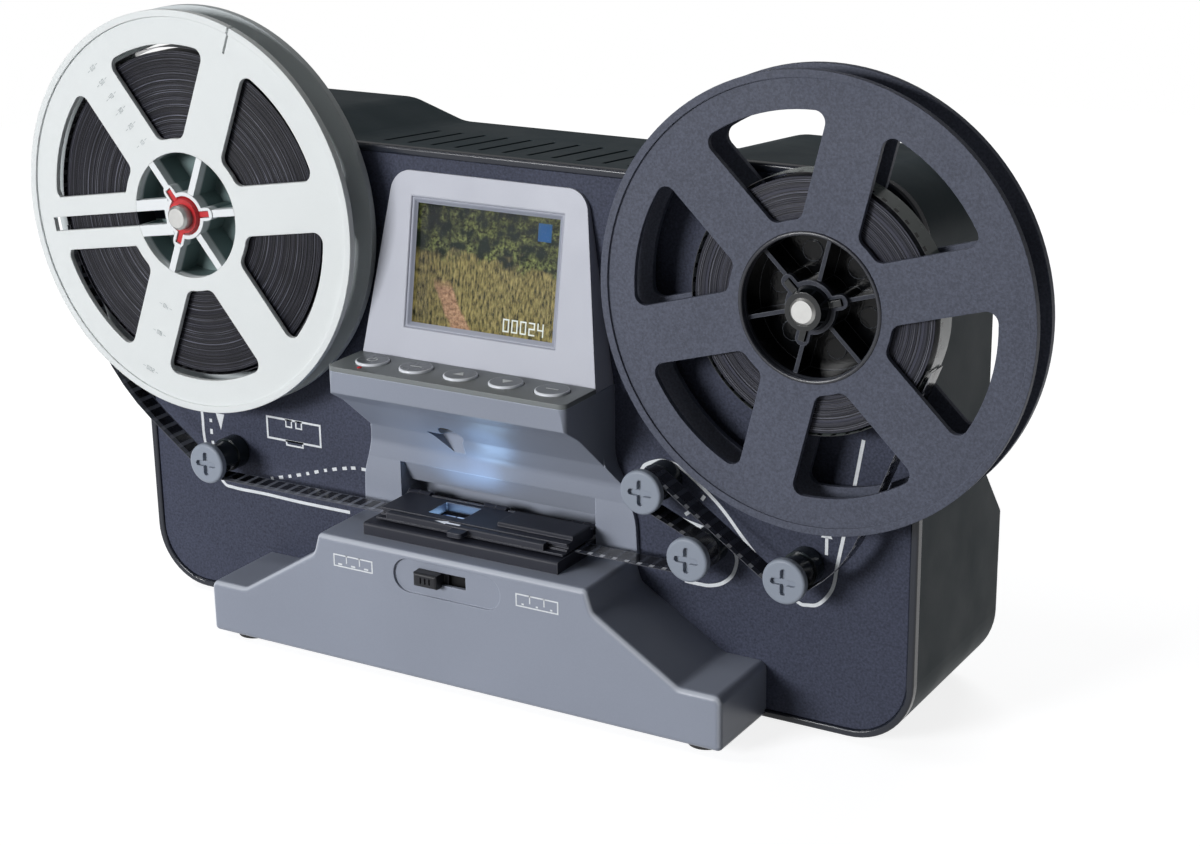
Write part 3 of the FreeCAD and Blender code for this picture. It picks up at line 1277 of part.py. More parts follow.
def reel(side, centre, spoke, angle, slotted):
    """Both halves of a reel: the back flange carries the film core and the boss."""
    rear, inner_rear, inner_front, front = reel_levels()
    core = dims.hub_radius - dims.hub_wall
    bore = dims.adaptor_radius + dims.running_gap

    def turned(name, level, outward, hole):
        # A flange is drawn with a window at its right, half a step from the nearest spoke.
        body = flange(name, level, outward, hole, spoke)
        turn = angle + 30
        place(body, centre[0], 0, centre[1], FreeCAD.Rotation(Vector(0, -1, 0), float(turn)))
        body.setExpression("Placement.Rotation.Angle", turn.formula)
        return body

    back = turned(f"{side}_back_flange", rear, 1, bore)
    face = turned(f"{side}_front_flange", inner_front, -1, core + dims.running_gap)
    drum = tube(f"{side}_core", "Y", centre, inner_front, inner_rear + 0.5, dims.hub_radius, core)

    # The boss has three lobes with keyways for the adaptor's fins.
    boss_front = inner_front - 0.7 if not slotted else front - 0.3
    boss = [rod(f"{side}_boss", "Y", centre, boss_front, inner_rear + 0.5, dims.boss_radius)]
    for i, key in enumerate(key_angles(angle)):
        tip = dims.lobe_reach - dims.lobe_width / 2
        tip_centre = (centre[0] + tip * cosine(key), centre[1] + tip * sine(key))
        boss.append(radial_bar(f"{side}_lobe{i}", centre, key, (size(1), tip), dims.lobe_width,
                               (boss_front, inner_rear + 0.5)))
        boss.append(rod(f"{side}_lobe_end{i}", "Y", tip_centre, boss_front, inner_rear + 0.5,
                        dims.lobe_width / 2))
    through = (front - 2, rear + 1)
    keyways = [
        radial_bar(f"{side}_keyway{i}", centre, key, (size(1), dims.key_reach), dims.key_width, through)
        for i, key in enumerate(key_angles(angle))
    ]
    hollow = [rod(f"{side}_reel_bore", "Y", centre, front - 2, rear + 1, bore)] + keyways

    rib = dims.pale_rib if slotted else dims.dark_rib
    rib_front = front if slotted else inner_front + 0.8
    ribs = [
        radial_bar(f"{side}_rib{i}", centre, angle + 60 * i, (dims.boss_radius - 0.5, core + 0.1), rib,
                   (rib_front, inner_rear + 0.5))
        for i in range(6) if not (slotted and i == 3)
    ]
    plates = []
    if slotted:
        # The wide spoke's slot runs on to the boss between two bars.
        wide = angle + 180
        slot = radial_bar(f"{side}_film_slot", centre, wide,
                          (dims.boss_radius + 0.6, dims.window_outer + 2.7), dims.film_slot, through)
        hollow.append(slot)
        ribs.append(radial_bar(f"{side}_slot_bars", centre, wide, (dims.boss_radius - 1.5, core + 0.1),
                               dims.film_slot + dims.slot_bar * 2, (front, inner_front + 2)))
        bars = []
        for label, levels in (("back", (inner_rear, rear)), ("front", (front, inner_front))):
            bars.append(radial_bar(f"{side}_{label}_bar", centre, wide,
                                   (dims.window_inner - 1, dims.window_outer + 1), dims.wide_spoke, levels))
        slit = radial_bar(f"{side}_slit", centre, angle + 60.5,
                          (dims.window_outer + 2, dims.reel_radius + 1), 0.8, through)
        face = cut(f"{side}_face_plate", fuse(f"{side}_face_wide", face, bars[1]), slot, slit)
        plates.append(bars[0])
    else:
        for i in range(6):
            spot = angle + 60 * i + 30
            x = centre[0] + dims.ejector_circle * cosine(spot)
            z = centre[1] + dims.ejector_circle * sine(spot)
            plates.append(rod(f"{side}_ejector{i}", "Y", (x, z), inner_rear - 0.4, inner_rear + 0.5,
                            dims.ejector_radius))
    # Level with the front flange the ribs stay inside its hole; behind it they run into the film core.
    limit = fuse(
        f"{side}_rib_limit",
        rod(f"{side}_rib_limit_front", "Y", centre, front - 1, inner_front, core),
        rod(f"{side}_rib_limit_back", "Y", centre, inner_front, inner_rear + 1, core + 0.1),
    )
    web = common(f"{side}_web", fuse(f"{side}_ribs", *ribs), limit)
    node(f"{side}_reel_back", cut(
        f"{side}_back_half", fuse(f"{side}_back_blank", back, drum, web, *boss, *plates), *hollow))
    node(f"{side}_reel_front", face)


def spindle(side, centre, rear_end, adaptor_front, angle):
    front = -dims.spindle_front
    seat = reel_back_level()
    shaft = rod(f"{side}_rod", "Y", centre, front + 0.8, rear_end, dims.spindle_radius)
    tip = cone(f"{side}_tip", "Y", centre, front, front + 0.8, dims.spindle_radius - 0.8, dims.spindle_radius)
    shoulder = rod(f"{side}_shoulder", "Y", centre, seat, -dims.seat_clearance, dims.seat_radius)
    node(f"{side}_shaft", fuse(f"{side}_spindle", shaft, tip, shoulder))

    # The adaptor's three fins stand in the boss's keyways.
    boss_level = reel_levels()[3] + 1
    sleeve = rod(f"{side}_sleeve", "Y", centre, boss_level, seat, dims.adaptor_radius)
    nose = cone(f"{side}_nose", "Y", centre, -adaptor_front, boss_level, dims.adaptor_radius - 0.9,
                dims.adaptor_radius)
    fins = [
        radial_bar(f"{side}_fin{i}", centre, key, (size(1), dims.key_reach - dims.fin_clearance),
                   dims.key_width - dims.fin_clearance * 2, (boss_level - 0.8, seat - dims.flange_thickness))
        for i, key in enumerate(key_angles(angle))
    ]
    hole = rod(f"{side}_sleeve_bore", "Y", centre, -adaptor_front - 1, seat + 1,
               dims.spindle_radius + dims.running_gap)
    blank = fuse(f"{side}_adaptor_blank", sleeve, nose, *fins)
    node(f"{side}_adaptor", cut(f"{side}_adaptor_piece", blank, hole))


def bushes():
    solids = []
    for side, centre in zip(("supply", "take_up"), SPINDLES):
        flange_part = rod(f"{side}_bush_flange", "Y", centre, -dims.bush_flange, 0, dims.bush_flange_radius)
        sleeve = rod(f"{side}_bush_sleeve", "Y", centre, -0.5, dims.bush_length, dims.bush_radius)
        bore = rod(f"{side}_bush_bore", "Y", centre, -dims.bush_flange - 1, dims.bush_length + 1,
                   dims.spindle_radius + dims.running_gap)
        solids.append(cut(f"{side}_bush", fuse(f"{side}_bush_blank", flange_part, sleeve), bore))
    node("spindle_bushes", group("bushes", *solids))


CROSS_REACH = 4.0
CROSS_WIDTH = 1.9
CROSS_DEPTH = 1.2


def rollers():
    barrel_front = film_front() - dims.slide_gap
    barrel_back = film_front() + dims.film_width + 0.4
    head_front = barrel_front - dims.roller_head
    posts = []
    for name, centre in ROLLERS.items():
        head = rod(f"{name}_head", "Y", centre, head_front, barrel_front, dims.roller_head_radius)
        edge_front = float(head_front)
        head = rounded(
            f"{name}_head_soft", head, dims.roller_round, lambda edge: edge.YMax < edge_front + 1e-3)
        barrel = rod(f"{name}_barrel", "Y", centre, barrel_front - 0.5, barrel_back + 0.5, dims.roller_radius)
        shoulder = rod(f"{name}_rear", "Y", centre, barrel_back, -dims.roller_clearance,
                       dims.roller_shoulder_radius)
        x, z = centre
        deep = (head_front - 1, head_front + CROSS_DEPTH)
        half = CROSS_WIDTH / 2
        reach = CROSS_REACH - half
        ends = [
            rod(f"{name}_cross_end{i}", "Y", (x + across * reach, z + up * reach), *deep, half)
            for i, (across, up) in enumerate(((1, 0), (0, 1), (-1, 0), (0, -1)))
        ]
        cross = fuse(
            f"{name}_cross",
            box(f"{name}_cross_level", (x - reach, x + reach), deep, (z - half, z + half)),
            box(f"{name}_cross_upright", (x - half, x + half), deep, (z - reach, z + reach)),
            *ends,
        )
        bore = rod(f"{name}_bore", "Y", centre, barrel_front + 1.8, 1, dims.post_radius + dims.running_gap)
        blank = fuse(f"{name}_blank", head, barrel, shoulder)
        node(f"roller_{name}", cut(f"{name}_roller", blank, cross, bore))
        collar = dims.panel_thickness
        posts.append(fuse(
            f"{name}_post_piece",
            rod(f"{name}_post", "Y", centre, barrel_front + 2, collar + 3.5, dims.post_radius),
            rod(f"{name}_post_collar", "Y", centre, collar, collar + 1.5, dims.post_radius + 1.5),
        ))
    node("roller_posts", group("posts", *posts))


def turn_radius(pack):
    """Where the middle line of a reel's outermost turn begins."""
    return float(pack + dims.turn_gap + dims.turn_growth + dims.film_thickness / 2)


def film_circles():
    """The film's path: circles as centre, radius of its middle line and sense of travel (1 is anticlockwise).

    At the reels the strip passes just outside the outermost turn, so that the reels turn freely.
    """
    wrap = float(dims.roller_radius + dims.wrap_gap + dims.film_thickness / 2)
    clear = float(dims.film_thickness + dims.wrap_gap)
    supply = turn_radius(dims.supply_pack) + clear
    take_up = turn_radius(dims.take_up_pack) + clear
    stops = [
        (SPINDLES[0], supply, 1), (ROLLERS["left"], wrap, 1), (ROLLERS["middle"], wrap, 1),
        (ROLLERS["upper"], wrap, -1), (ROLLERS["lower"], wrap, 1), (SPINDLES[1], take_up, 1),
    ]
    front = float(film_front())
    circles = [(Vector(float(c[0]), front, float(c[1])), radius, sense) for c, radius, sense in stops]
    slack = (
        (1, dims.supply_slack_x - dims.supply_x, dims.supply_height - dims.supply_slack_drop,
         dims.supply_slack),
        (-1, dims.take_up_x - dims.take_up_slack_x, dims.take_up_height - dims.take_up_slack_drop,
         dims.take_up_slack),
    )
    for spot, x, z, radius in slack:
        bend = (Vector(float(x), front, float(z)), float(radius), 1)
        if hangs_between(circles[spot - 1], bend, circles[spot]):
            circles = circles[:spot] + [bend] + circles[spot:]
    return circles


def hangs_between(*circles):
    """Whether tangents lead over the middle one of three circles, with less than half a turn round it."""
    for (c1, r1, s1), (c2, r2, s2) in zip(circles, circles[1:]):
        if abs(s2 * r2 - s1 * r1) >= (c2 - c1).Length:
            return False
    return all(sweep < math.pi for _, _, _, sweep in bends(circles, tangents(circles)))


def polar(centre, radius, angle):
    return centre + Vector(math.cos(angle), 0, math.sin(angle)) * radius


def tangents(circles):
    """For each straight run between two circles: its start, its end and the normal's angle."""
    runs = []
    for (c1, r1, s1), (c2, r2, s2) in zip(circles, circles[1:]):
        gap = c2 - c1
        normal = math.atan2(gap.z, gap.x) + math.acos((s2 * r2 - s1 * r1) / gap.Length)
        runs.append((polar(c1, -s1 * r1, normal), polar(c2, -s2 * r2, normal), normal))
    return runs


def bends(circles, lines):
    """For each circle between two lines: the circle, the angle where the film meets it, and its sweep."""
    out = []
    for circle, before, after in zip(circles[1:], lines, lines[1:]):
        centre, _, sense = circle
        come, leave = (math.atan2((p - centre).z, (p - centre).x) for p in (before[1], after[0]))
        out.append((circle, come, sense, (sense * (leave - come)) % (2 * math.pi)))
    return out


def film_edges(circles, runs, offset):
    """Straight and curved edges of the film, offset to the left of its travel."""
    normals = [Vector(math.cos(a), 0, math.sin(a)) for _, _, a in runs]
    lines = [(start + n * offset, end + n * offset) for (start, end, _), n in zip(runs, normals)]
    edges = [Part.LineSegment(*lines[0]).toShape()]
    for (circle, come, sense, sweep), before, after in zip(bends(circles, lines), lines, lines[1:]):
        middle = polar(circle[0], circle[1] - sense * offset, come + sense * sweep / 2)
        edges.append(Part.Arc(before[1], middle, after[0]).toShape())
        edges.append(Part.LineSegment(*after).toShape())
    return edges


def ribbon(near, far):
    """A strip of film between two rows of edges that run the same way."""
    caps = []
    starts = [edges[0].firstVertex(True).Point for edges in (near, far)]
    ends = [edges[-1].lastVertex(True).Point for edges in (near, far)]
    for pair in (starts, ends):
        caps.append(Part.LineSegment(*pair).toShape())
    wire = Part.Wire(Part.__sortEdges__(near + far + caps))
    return Part.Face(wire).extrude(Vector(0, float(dims.film_width), 0))


def loose_turn(centre, radius, angle, inward):
    """The outermost turn as two half arcs about shifted centres, so that it winds in by turn_growth.

    inward is 1 where the film winds inward as it travels anticlockwise, -1 where it winds outward.
    """
    shift = float(dims.turn_growth) / 4
    out = Vector(math.cos(angle), 0, math.sin(angle))
    halves = [(centre + out * shift, radius - shift), (centre - out * shift, radius - 3 * shift)]
    rows = []
    for offset in (float(dims.film_thickness) / 2, -float(dims.film_thickness) / 2):
        row = []
        for i, (middle, r) in enumerate(halves):
            start = angle + math.pi * i * inward
            points = [polar(middle, r + offset, start + inward * math.pi * k / 2) for k in range(3)]
            row.append(Part.Arc(*points).toShape())
        rows.append(row)
    samples = []
    for i, (middle, r) in enumerate(halves):
        start = angle + math.pi * i * inward
        samples += [polar(middle, r, start + inward * math.radians(k)) for k in range(0, 181, 4)]
    apart = len(samples) // 4
    least = min(
        samples[i].distanceToPoint(samples[j])
        for i in range(len(samples)) for j in range(i + apart, len(samples))
    )
    print(f"loose turn: least gap to itself {least - float(dims.film_thickness):.2f} mm")
    return ribbon(*rows)


def film():
    circles = film_circles()
    runs = tangents(circles)
    half = float(dims.film_thickness) / 2
    rows = [film_edges(circles, runs, offset) for offset in (half, -half)]
    node("film_strip", made("strip", ribbon(*rows)))
    packs = (("supply", dims.supply_pack, circles[0], runs[0][0], -1),
             ("take_up", dims.take_up_pack, circles[-1], runs[-1][1], 1))
    for (side, pack, (centre, _, _), spot, inward), spindle_place in zip(packs, SPINDLES):
        node(f"{side}_film_pack", tube(
            f"{side}_wound_film", "Y", spindle_place, film_front(), film_front() + dims.film_width, pack,
            dims.hub_radius + dims.slide_gap))
        angle = math.atan2((spot - centre).z, (spot - centre).x)
        node(f"{side}_outer_turn", made(f"{side}_turn", loose_turn(centre, turn_radius(pack), angle, inward)))


def pulley(name, centre, radius, bore):
    front = dims.pulley_front
    back = front + dims.pulley_width
    groove_front = front + (dims.pulley_width - dims.belt_size) / 2 - 0.4
    disc = tube(f"{name}_disc", "Y", centre, front, back, radius, bore)
    groove = tube(f"{name}_groove", "Y", centre, groove_front, groove_front + dims.belt_size + 0.8,
                  radius + 1, radius - dims.groove_depth)
    node(name, cut(f"{name}_wheel", disc, groove))


def belt_wire(extra):
    """A loop round both pulleys, above their grooves."""
    front = float(dims.pulley_front + (dims.pulley_width - dims.belt_size) / 2)
    centres = [Vector(float(dims.take_up_x), front, float(dims.take_up_height)),
               Vector(float(dims.motor_x), front, float(dims.motor_height))]
    under = float(dims.belt_gap) - float(dims.groove_depth) + extra
    circles = [(centres[0], float(dims.pulley_radius) + under, 1),
               (centres[1], float(dims.motor_pulley_radius) + under, 1)]
    (out_start, out_end, _), (back_start, back_end, _) = tangents(circles + circles[:1])
    edges = [Part.LineSegment(out_start, out_end).toShape(), Part.LineSegment(back_start, back_end).toShape()]
    bends = ((circles[1], out_end, back_start), (circles[0], back_end, out_start))
    for (centre, radius, _), come, leave in bends:
        start = math.atan2((come - centre).z, (come - centre).x)
        sweep = (math.atan2((leave - centre).z, (leave - centre).x) - start) % (2 * math.pi)
        edges.append(Part.Arc(come, polar(centre, radius, start + sweep / 2), leave).toShape())
    return Part.Wire(Part.__sortEdges__(edges))


def drive():
    take_up = SPINDLES[1]
    motor = (dims.motor_x, dims.motor_height)
    pulley("take_up_pulley", take_up, dims.pulley_radius, dims.spindle_radius + dims.running_gap)
    pulley("motor_pulley", motor, dims.motor_pulley_radius, 1 + dims.running_gap)
    face = Part.Face(belt_wire(float(dims.belt_size))).cut(Part.Face(belt_wire(0.0)))
    node("drive_belt", made("belt", face.extrude(Vector(0, float(dims.belt_size), 0))))

    plate_front = dims.pulley_front + dims.pulley_width + 1.4
    plate_back = plate_front + 1.6
    x, z = motor
    wide, high = BRACKET
    plate = box("bracket_plate", (x - wide, x + wide), (plate_front, plate_back), (z - high, z + high))
    posts = [
        rod(f"bracket_post{i}", "Y", (x - wide + 4, z + side), dims.panel_thickness, plate_front + 0.5, 3)
        for i, side in enumerate((4 - high, high - 4))
    ]
    shaft_hole = rod("bracket_hole", "Y", motor, plate_front - 1, plate_back + 1, 2.5)
    node("motor_bracket", cut("bracket", fuse("bracket_blank", plate, *posts), shaft_hole))
    can = rod("motor_can", "Y", motor, plate_back, plate_back + dims.motor_length, dims.motor_radius)
    shaft = rod("motor_shaft", "Y", motor, dims.pulley_front - 2, plate_back + 1, 1)
    cap = rod("motor_cap", "Y", motor, plate_back + dims.motor_length - 0.5,
              plate_back + dims.motor_length + 2, dims.motor_radius / 2)
    node("take_up_motor", fuse("motor", can, shaft, cap))

    back = dims.bay_depth + dims.bay_wall
    gear_case = box("advance_case", (-28, 8), (back, back + 14), (dims.deck_height - 0.6, dims.bay_top))
    advance_can = rod("advance_can", "Y", (-10, dims.deck_height + 8.4), back + 13.5, back + 37, 10)
    node("advance_motor", fuse("advance", gear_case, advance_can))


def electronics():
    front = dims.board_depth
    back = front + dims.board_thickness
    board = box("board_plate", (-60, 60), (front, back), (70, 150))
    chips = [
        box("board_chip0", (-16, 8), (front - 1.6, front + 0.2), (100, 124)),
        box("board_chip1", (18, 32), (front - 1.4, front + 0.2), (104, 122)),
        box("board_plug", (-50, -34), (front - 6, front + 0.2), (130, 138)),
    ]
    node("main_board", fuse("board", board, *chips))
    rear = dims.housing_depth - 0.4
    for name, kind, x, z in CONNECTORS:
        shell = box(f"{name}_shell", x, (back, rear), z)
        if kind == "round":
            centre = ((x[0] + x[1]) / 2, (z[0] + z[1]) / 2)
            hollow = [rod(f"{name}_bore", "Y", centre, rear - 12, rear + 1, CONNECTOR_BORES[name])]
            if name == "dc_inlet":
                hollow = [cut("inlet_ring", hollow[0], rod("inlet_pin", "Y", centre, rear - 13, rear - 2, 1))]
        else:
            hollow = [box(f"{name}_mouth", (x[0] + 1, x[1] - 1), (rear - 9, rear + 1), (z[0] + 1, z[1] - 1))]
        node(name, cut(f"{name}_piece", shell, *hollow))


def build():
    rear_housing()
    panel_and_trim()
    housing_screws()
    base_plinth()
    rubber_feet()
    format_switch()
    console_body()
    camera()
    button_plate()
    buttons()
    screen()
    gate()
    backlight()
    reel("supply", SPINDLES[0], dims.pale_spoke, dims.pale_spoke_angle, True)
    reel("take_up", SPINDLES[1], dims.dark_spoke, dims.dark_spoke_angle, False)
    spindle("supply", SPINDLES[0], dims.bush_length + 6, dims.reel_front + dims.supply_adaptor_proud,
            dims.pale_spoke_angle)
    spindle("take_up", SPINDLES[1], dims.pulley_front + dims.pulley_width + 5,
            dims.reel_front + dims.take_up_adaptor_proud, dims.dark_spoke_angle)
    bushes()
    rollers()
    film()
    drive()
    electronics()


build()
doc.recompute()

faults = [f"{obj.Name}: {obj.State}" for obj in doc.Objects if "Invalid" in obj.State or "Error" in obj.State]
for obj in nodes:
    if obj.Shape.isNull() or not obj.Shape.isValid() or not obj.Shape.Solids:
        faults.append(f"{obj.Label}: no valid solid")
if faults:
    raise RuntimeError("; ".join(faults))

os.makedirs("parts", exist_ok=True)
whole = FreeCAD.BoundBox()
for obj in nodes:
    obj.Shape.exportStep(f"parts/{obj.Label}.step")
    whole.add(obj.Shape.optimalBoundingBox(False, False))
print(f"{len(nodes)} nodes, {whole.XLength:.2f} x {whole.YLength:.2f} x {whole.ZLength:.2f} mm,"
      f" middle {whole.Center.x:.2f} {whole.Center.y:.2f}, foot {whole.ZMin:.2f}")
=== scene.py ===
import bpy
import math
import random
from mathutils import Euler, Matrix, Vector


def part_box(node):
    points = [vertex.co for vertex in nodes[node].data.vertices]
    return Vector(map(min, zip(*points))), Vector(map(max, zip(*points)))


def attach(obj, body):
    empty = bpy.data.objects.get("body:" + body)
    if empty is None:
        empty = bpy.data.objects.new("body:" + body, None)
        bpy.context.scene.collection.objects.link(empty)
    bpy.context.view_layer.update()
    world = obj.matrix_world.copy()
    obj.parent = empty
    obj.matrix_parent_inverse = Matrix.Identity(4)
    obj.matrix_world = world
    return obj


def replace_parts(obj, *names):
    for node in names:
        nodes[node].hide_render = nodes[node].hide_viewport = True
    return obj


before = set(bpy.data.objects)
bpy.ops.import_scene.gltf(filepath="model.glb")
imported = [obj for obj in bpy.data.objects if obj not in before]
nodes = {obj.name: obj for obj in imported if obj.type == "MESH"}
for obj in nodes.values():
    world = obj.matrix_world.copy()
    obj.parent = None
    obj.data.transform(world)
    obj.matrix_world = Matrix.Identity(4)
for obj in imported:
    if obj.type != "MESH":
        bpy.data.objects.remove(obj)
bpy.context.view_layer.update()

# Places are given in millimetres from the middle of the front panel's face, x to the right, y to the rear,
# z up from the floor. SHIFT takes them into the frame.
MM = 0.001
SHIFT = Vector((-3.75, -17.9, 0.0))

FILM_FRONT = -13.8
FILM_WIDTH = 8.0
FILM_THICKNESS = 0.14
PERFORATION_PITCH = 4.23

BUTTON_TOP = 100.95
BUTTON_STEP = 16.1
BUTTON_ROW = -18.8

# The lamp under the gate's window: its place across and in depth.
LAMP_ACROSS = -10.5
LAMP_BACK = -9.0


def at(x, y, z):
    return (Vector((x, y, z)) + SHIFT) * MM


def middle(node):
    """A node's centre, back in millimetres from the panel."""
    low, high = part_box(node)
    return (low + high) / 2 / MM - SHIFT


SUPPLY, TAKE_UP = ((spot.x, spot.z) for spot in (middle("supply_shaft"), middle("take_up_shaft")))


def add_object(name, data):
    """An object for a mesh, lamp or camera, put in the scene."""
    obj = bpy.data.objects.new(name, data)
    bpy.context.scene.collection.objects.link(obj)
    return obj


# Camera

CAMERA_PLACE = Vector((0.3612, -0.5726, 0.2987))
CAMERA_YAW = 30.58
CAMERA_DOWN = 18.29
CAMERA_ROLL = -0.766
CAMERA_LENS = 67.863

camera_data = bpy.data.cameras.new("camera")
camera_data.sensor_width = 36.0
camera_data.sensor_fit = "HORIZONTAL"
camera_data.lens = CAMERA_LENS
camera_data.clip_start = 0.01
camera = add_object("camera", camera_data)
camera.matrix_world = (
    Matrix.Translation(CAMERA_PLACE)
    @ Euler((math.radians(90 - CAMERA_DOWN), 0, math.radians(CAMERA_YAW))).to_matrix().to_4x4()
    @ Matrix.Rotation(math.radians(CAMERA_ROLL), 4, "Z")
)
bpy.context.scene.camera = camera
bpy.context.scene.view_settings.view_transform = "Standard"


# Materials

def linear(red, green, blue):
    """A colour written from 0 to 255 as the eye sees it, as light."""
    return tuple((c / 255 / 12.92 if c <= 10 else ((c / 255 + 0.055) / 1.055) ** 2.4) for c in (red, green, blue))


class Material:
    """A material whose nodes are added one by one."""

    def __init__(self, name):
        self.data = bpy.data.materials.new(name)
        self.data.use_nodes = True
        self.tree = self.data.node_tree
        self.shader = self.tree.nodes["Principled BSDF"]
        self.place = self.add("ShaderNodeTexCoord").outputs["Object"]

    def add(self, kind, settings=(), **inputs):
        node = self.tree.nodes.new(kind)
        for key, value in dict(settings).items():
            setattr(node, key, value)
        for key, value in inputs.items():
            self.feed(node.inputs[key.replace("_", " ")], value)
        return node

    def feed(self, socket, value):
        """Link another node's output to a socket, or set a value. A colour may leave out its alpha."""
        if isinstance(value, bpy.types.NodeSocket):
            self.tree.links.new(value, socket)
        elif socket.type == "RGBA" and len(value) == 3:
            socket.default_value = (*value, 1.0)
        else:
            socket.default_value = value

    def set(self, **inputs):
        for key, value in inputs.items():
            self.feed(self.shader.inputs[key.replace("_", " ")], value)

    def source(self, key):
        """What already feeds one of the shader's inputs."""
        return self.shader.inputs[key].links[0].from_socket

    def noise(self, scale, detail=2.0, rough=0.5, vector=None):
        return self.add("ShaderNodeTexNoise", Vector=vector or self.place, Scale=scale, Detail=detail,
                        Roughness=rough).outputs["Fac"]

    def math(self, operation, a, b=0.0):
        node = self.add("ShaderNodeMath", {"operation": operation})
        self.feed(node.inputs[0], a)
        self.feed(node.inputs[1], b)
        return node.outputs[0]

    def vector(self, operation, a, b=(0.0, 0.0, 0.0)):
        node = self.add("ShaderNodeVectorMath", {"operation": operation})
        self.feed(node.inputs[0], a)
        self.feed(node.inputs[1], b)
        return node.outputs["Value"] if operation in ("DISTANCE", "DOT_PRODUCT", "LENGTH") else node.outputs[0]

    def span(self, value, low, high, to_low=0.0, to_high=1.0):
        """Stretch a value from one range to another, and hold it there."""
        node = self.add("ShaderNodeMapRange", Value=value)
        for name, number in (("From Min", low), ("From Max", high), ("To Min", to_low), ("To Max", to_high)):
            node.inputs[name].default_value = number
        return node.outputs["Result"]

    def band(self, value, rise, full, fall, end):
        """0 outside two limits and 1 in the middle, with a ramp at each side."""
        return self.math("MULTIPLY", self.span(value, rise, full), self.span(value, end, fall))

    def between(self, value, low, high):
        """1 between two limits, else 0."""
        return self.math("MULTIPLY", self.math("GREATER_THAN", value, low), self.math("LESS_THAN", value, high))

    def about(self, value, middle, reach):
        """1 within a reach of one value, else 0."""
        return self.math("LESS_THAN", self.math("ABSOLUTE", self.math("SUBTRACT", value, middle)), reach)

    def length(self, a, b):
        """The length of a line that goes a one way and b square to it."""
        return self.math("SQRT", self.math("ADD", self.math("MULTIPLY", a, a), self.math("MULTIPLY", b, b)))

    def mix(self, factor, a, b):
        node = self.add("ShaderNodeMix", {"data_type": "RGBA"})
        for index, value in ((0, factor), (6, a), (7, b)):
            self.feed(node.inputs[index], value)
        return node.outputs[2]

    def split(self, vector=None):
        node = self.add("ShaderNodeSeparateXYZ", Vector=vector or self.place)
        return node.outputs

    def bump(self, height, strength, distance, bevel=0.0):
        node = self.add("ShaderNodeBump", Height=height, Strength=strength, Distance=distance)
        if bevel:
            edge = self.add("ShaderNodeBevel", {"samples": 4}, Radius=bevel)
            self.feed(node.inputs["Normal"], edge.outputs[0])
        return node.outputs[0]


def dim(colour, factor):
    return tuple(c * factor for c in colour)


def painted_highlight_share(m, radius, most):
    """0 on open faces, rising to most on edges and corners within this radius in millimetres: a mask for painted
    highlights.
    """
    rounded = m.add("ShaderNodeBevel", {"samples": 4}, Radius=radius * MM).outputs[0]
    turned = m.vector("DOT_PRODUCT", rounded, m.add("ShaderNodeNewGeometry").outputs["Normal"])
    return m.span(turned, 0.99, 0.85, 0.0, most)


def plastic(name, colour, roughness, grain=0.0, grain_size=0.6, spread=0.05, bevel=0.35, speckle=0.25, edge=0.0,
            edge_highlight_lift=0.03, **extra):
    """Moulded plastic: a fine grain, a slow drift of tone, handling marks in its gloss and softened edges, which an
    edge share paints paler as a painted highlight.
    """
    m = Material(name)
    drift = m.noise(18.0, 3.0)
    fine = m.noise(1000.0 / grain_size, 2.0, 0.6)
    tone = m.math("ADD", m.math("MULTIPLY", drift, 1 - speckle), m.math("MULTIPLY", fine, speckle))
    ground = m.mix(m.span(tone, 0.35, 0.65), dim(colour, 1 - spread), dim(colour, 1 + spread))
    if edge:
        # A painted highlight: edges and corners lightened by up to the edge share.
        ground = m.mix(painted_highlight_share(m, bevel, edge), ground, tuple(min(c * 2.0 + edge_highlight_lift, 0.9) for c in colour))
    smear = m.noise(45.0, 4.0, 0.6)
    m.set(Base_Color=ground,
          Roughness=m.span(smear, 0.3, 0.7, max(roughness - 0.05, 0.02), min(roughness + 0.06, 1.0)),
          Normal=m.bump(fine, max(grain, 0.02), 0.0002 * max(grain_size, 0.4), bevel * MM), **extra)
    return m


def metal(name, colour, roughness, lines_along="Y", scratch=0.15):
    """Turned or drawn metal with fine lines along one axis."""
    m = Material(name)
    stretch = {"X": (40.0, 900.0, 900.0), "Y": (900.0, 40.0, 900.0)}[lines_along]
    mapping = m.add("ShaderNodeMapping", Vector=m.place, Scale=stretch)
    lines = m.noise(1.0, 3.0, 0.6, mapping.outputs[0])
    m.set(Base_Color=m.mix(m.span(lines, 0.3, 0.7), dim(colour, 0.94), dim(colour, 1.03)), Metallic=1.0,
          Roughness=m.span(lines, 0.3, 0.7, roughness * 0.9, roughness * 1.15),
          Normal=m.bump(lines, scratch, 0.00005, 0.0002))
    return m


def dress(material, *names):
    """Give CAD nodes a material."""
    for name in names:
        slots = nodes[name].data.materials
        slots.clear()
        slots.append(material.data)


# An edge share given to these materials paints their edges paler, a painted highlight.
GREY = linear(143, 149, 163)
housing = plastic("housing_dark", linear(50, 61, 66), 0.45, grain=0.10, grain_size=0.9, edge=0.3,
                  Specular_IOR_Level=0.05)
panel = plastic("panel_blue_grey", linear(62, 66, 82), 0.55, grain=0.6, grain_size=0.75, spread=0.34, speckle=0.75,
                Specular_IOR_Level=0.15)
trim = plastic("trim_dark", linear(34, 38, 48), 0.22, bevel=0.25, edge=0.5, edge_highlight_lift=0.06, Specular_IOR_Level=0.4)
body = plastic("body_grey", GREY, 0.34, grain=0.05, spread=0.04, bevel=0.5, edge=0.7, edge_highlight_lift=0.08,
               Specular_IOR_Level=0.3)
bezel = plastic("bezel_grey", linear(182, 185, 196), 0.4, grain=0.04, spread=0.02, edge=0.3, Specular_IOR_Level=0.3)
plate = plastic("plate_olive", linear(112, 117, 118), 0.4, grain=0.05, spread=0.03, edge=0.4)
red_light = plastic("red_light", linear(224, 44, 48), 0.25, bevel=0.1)
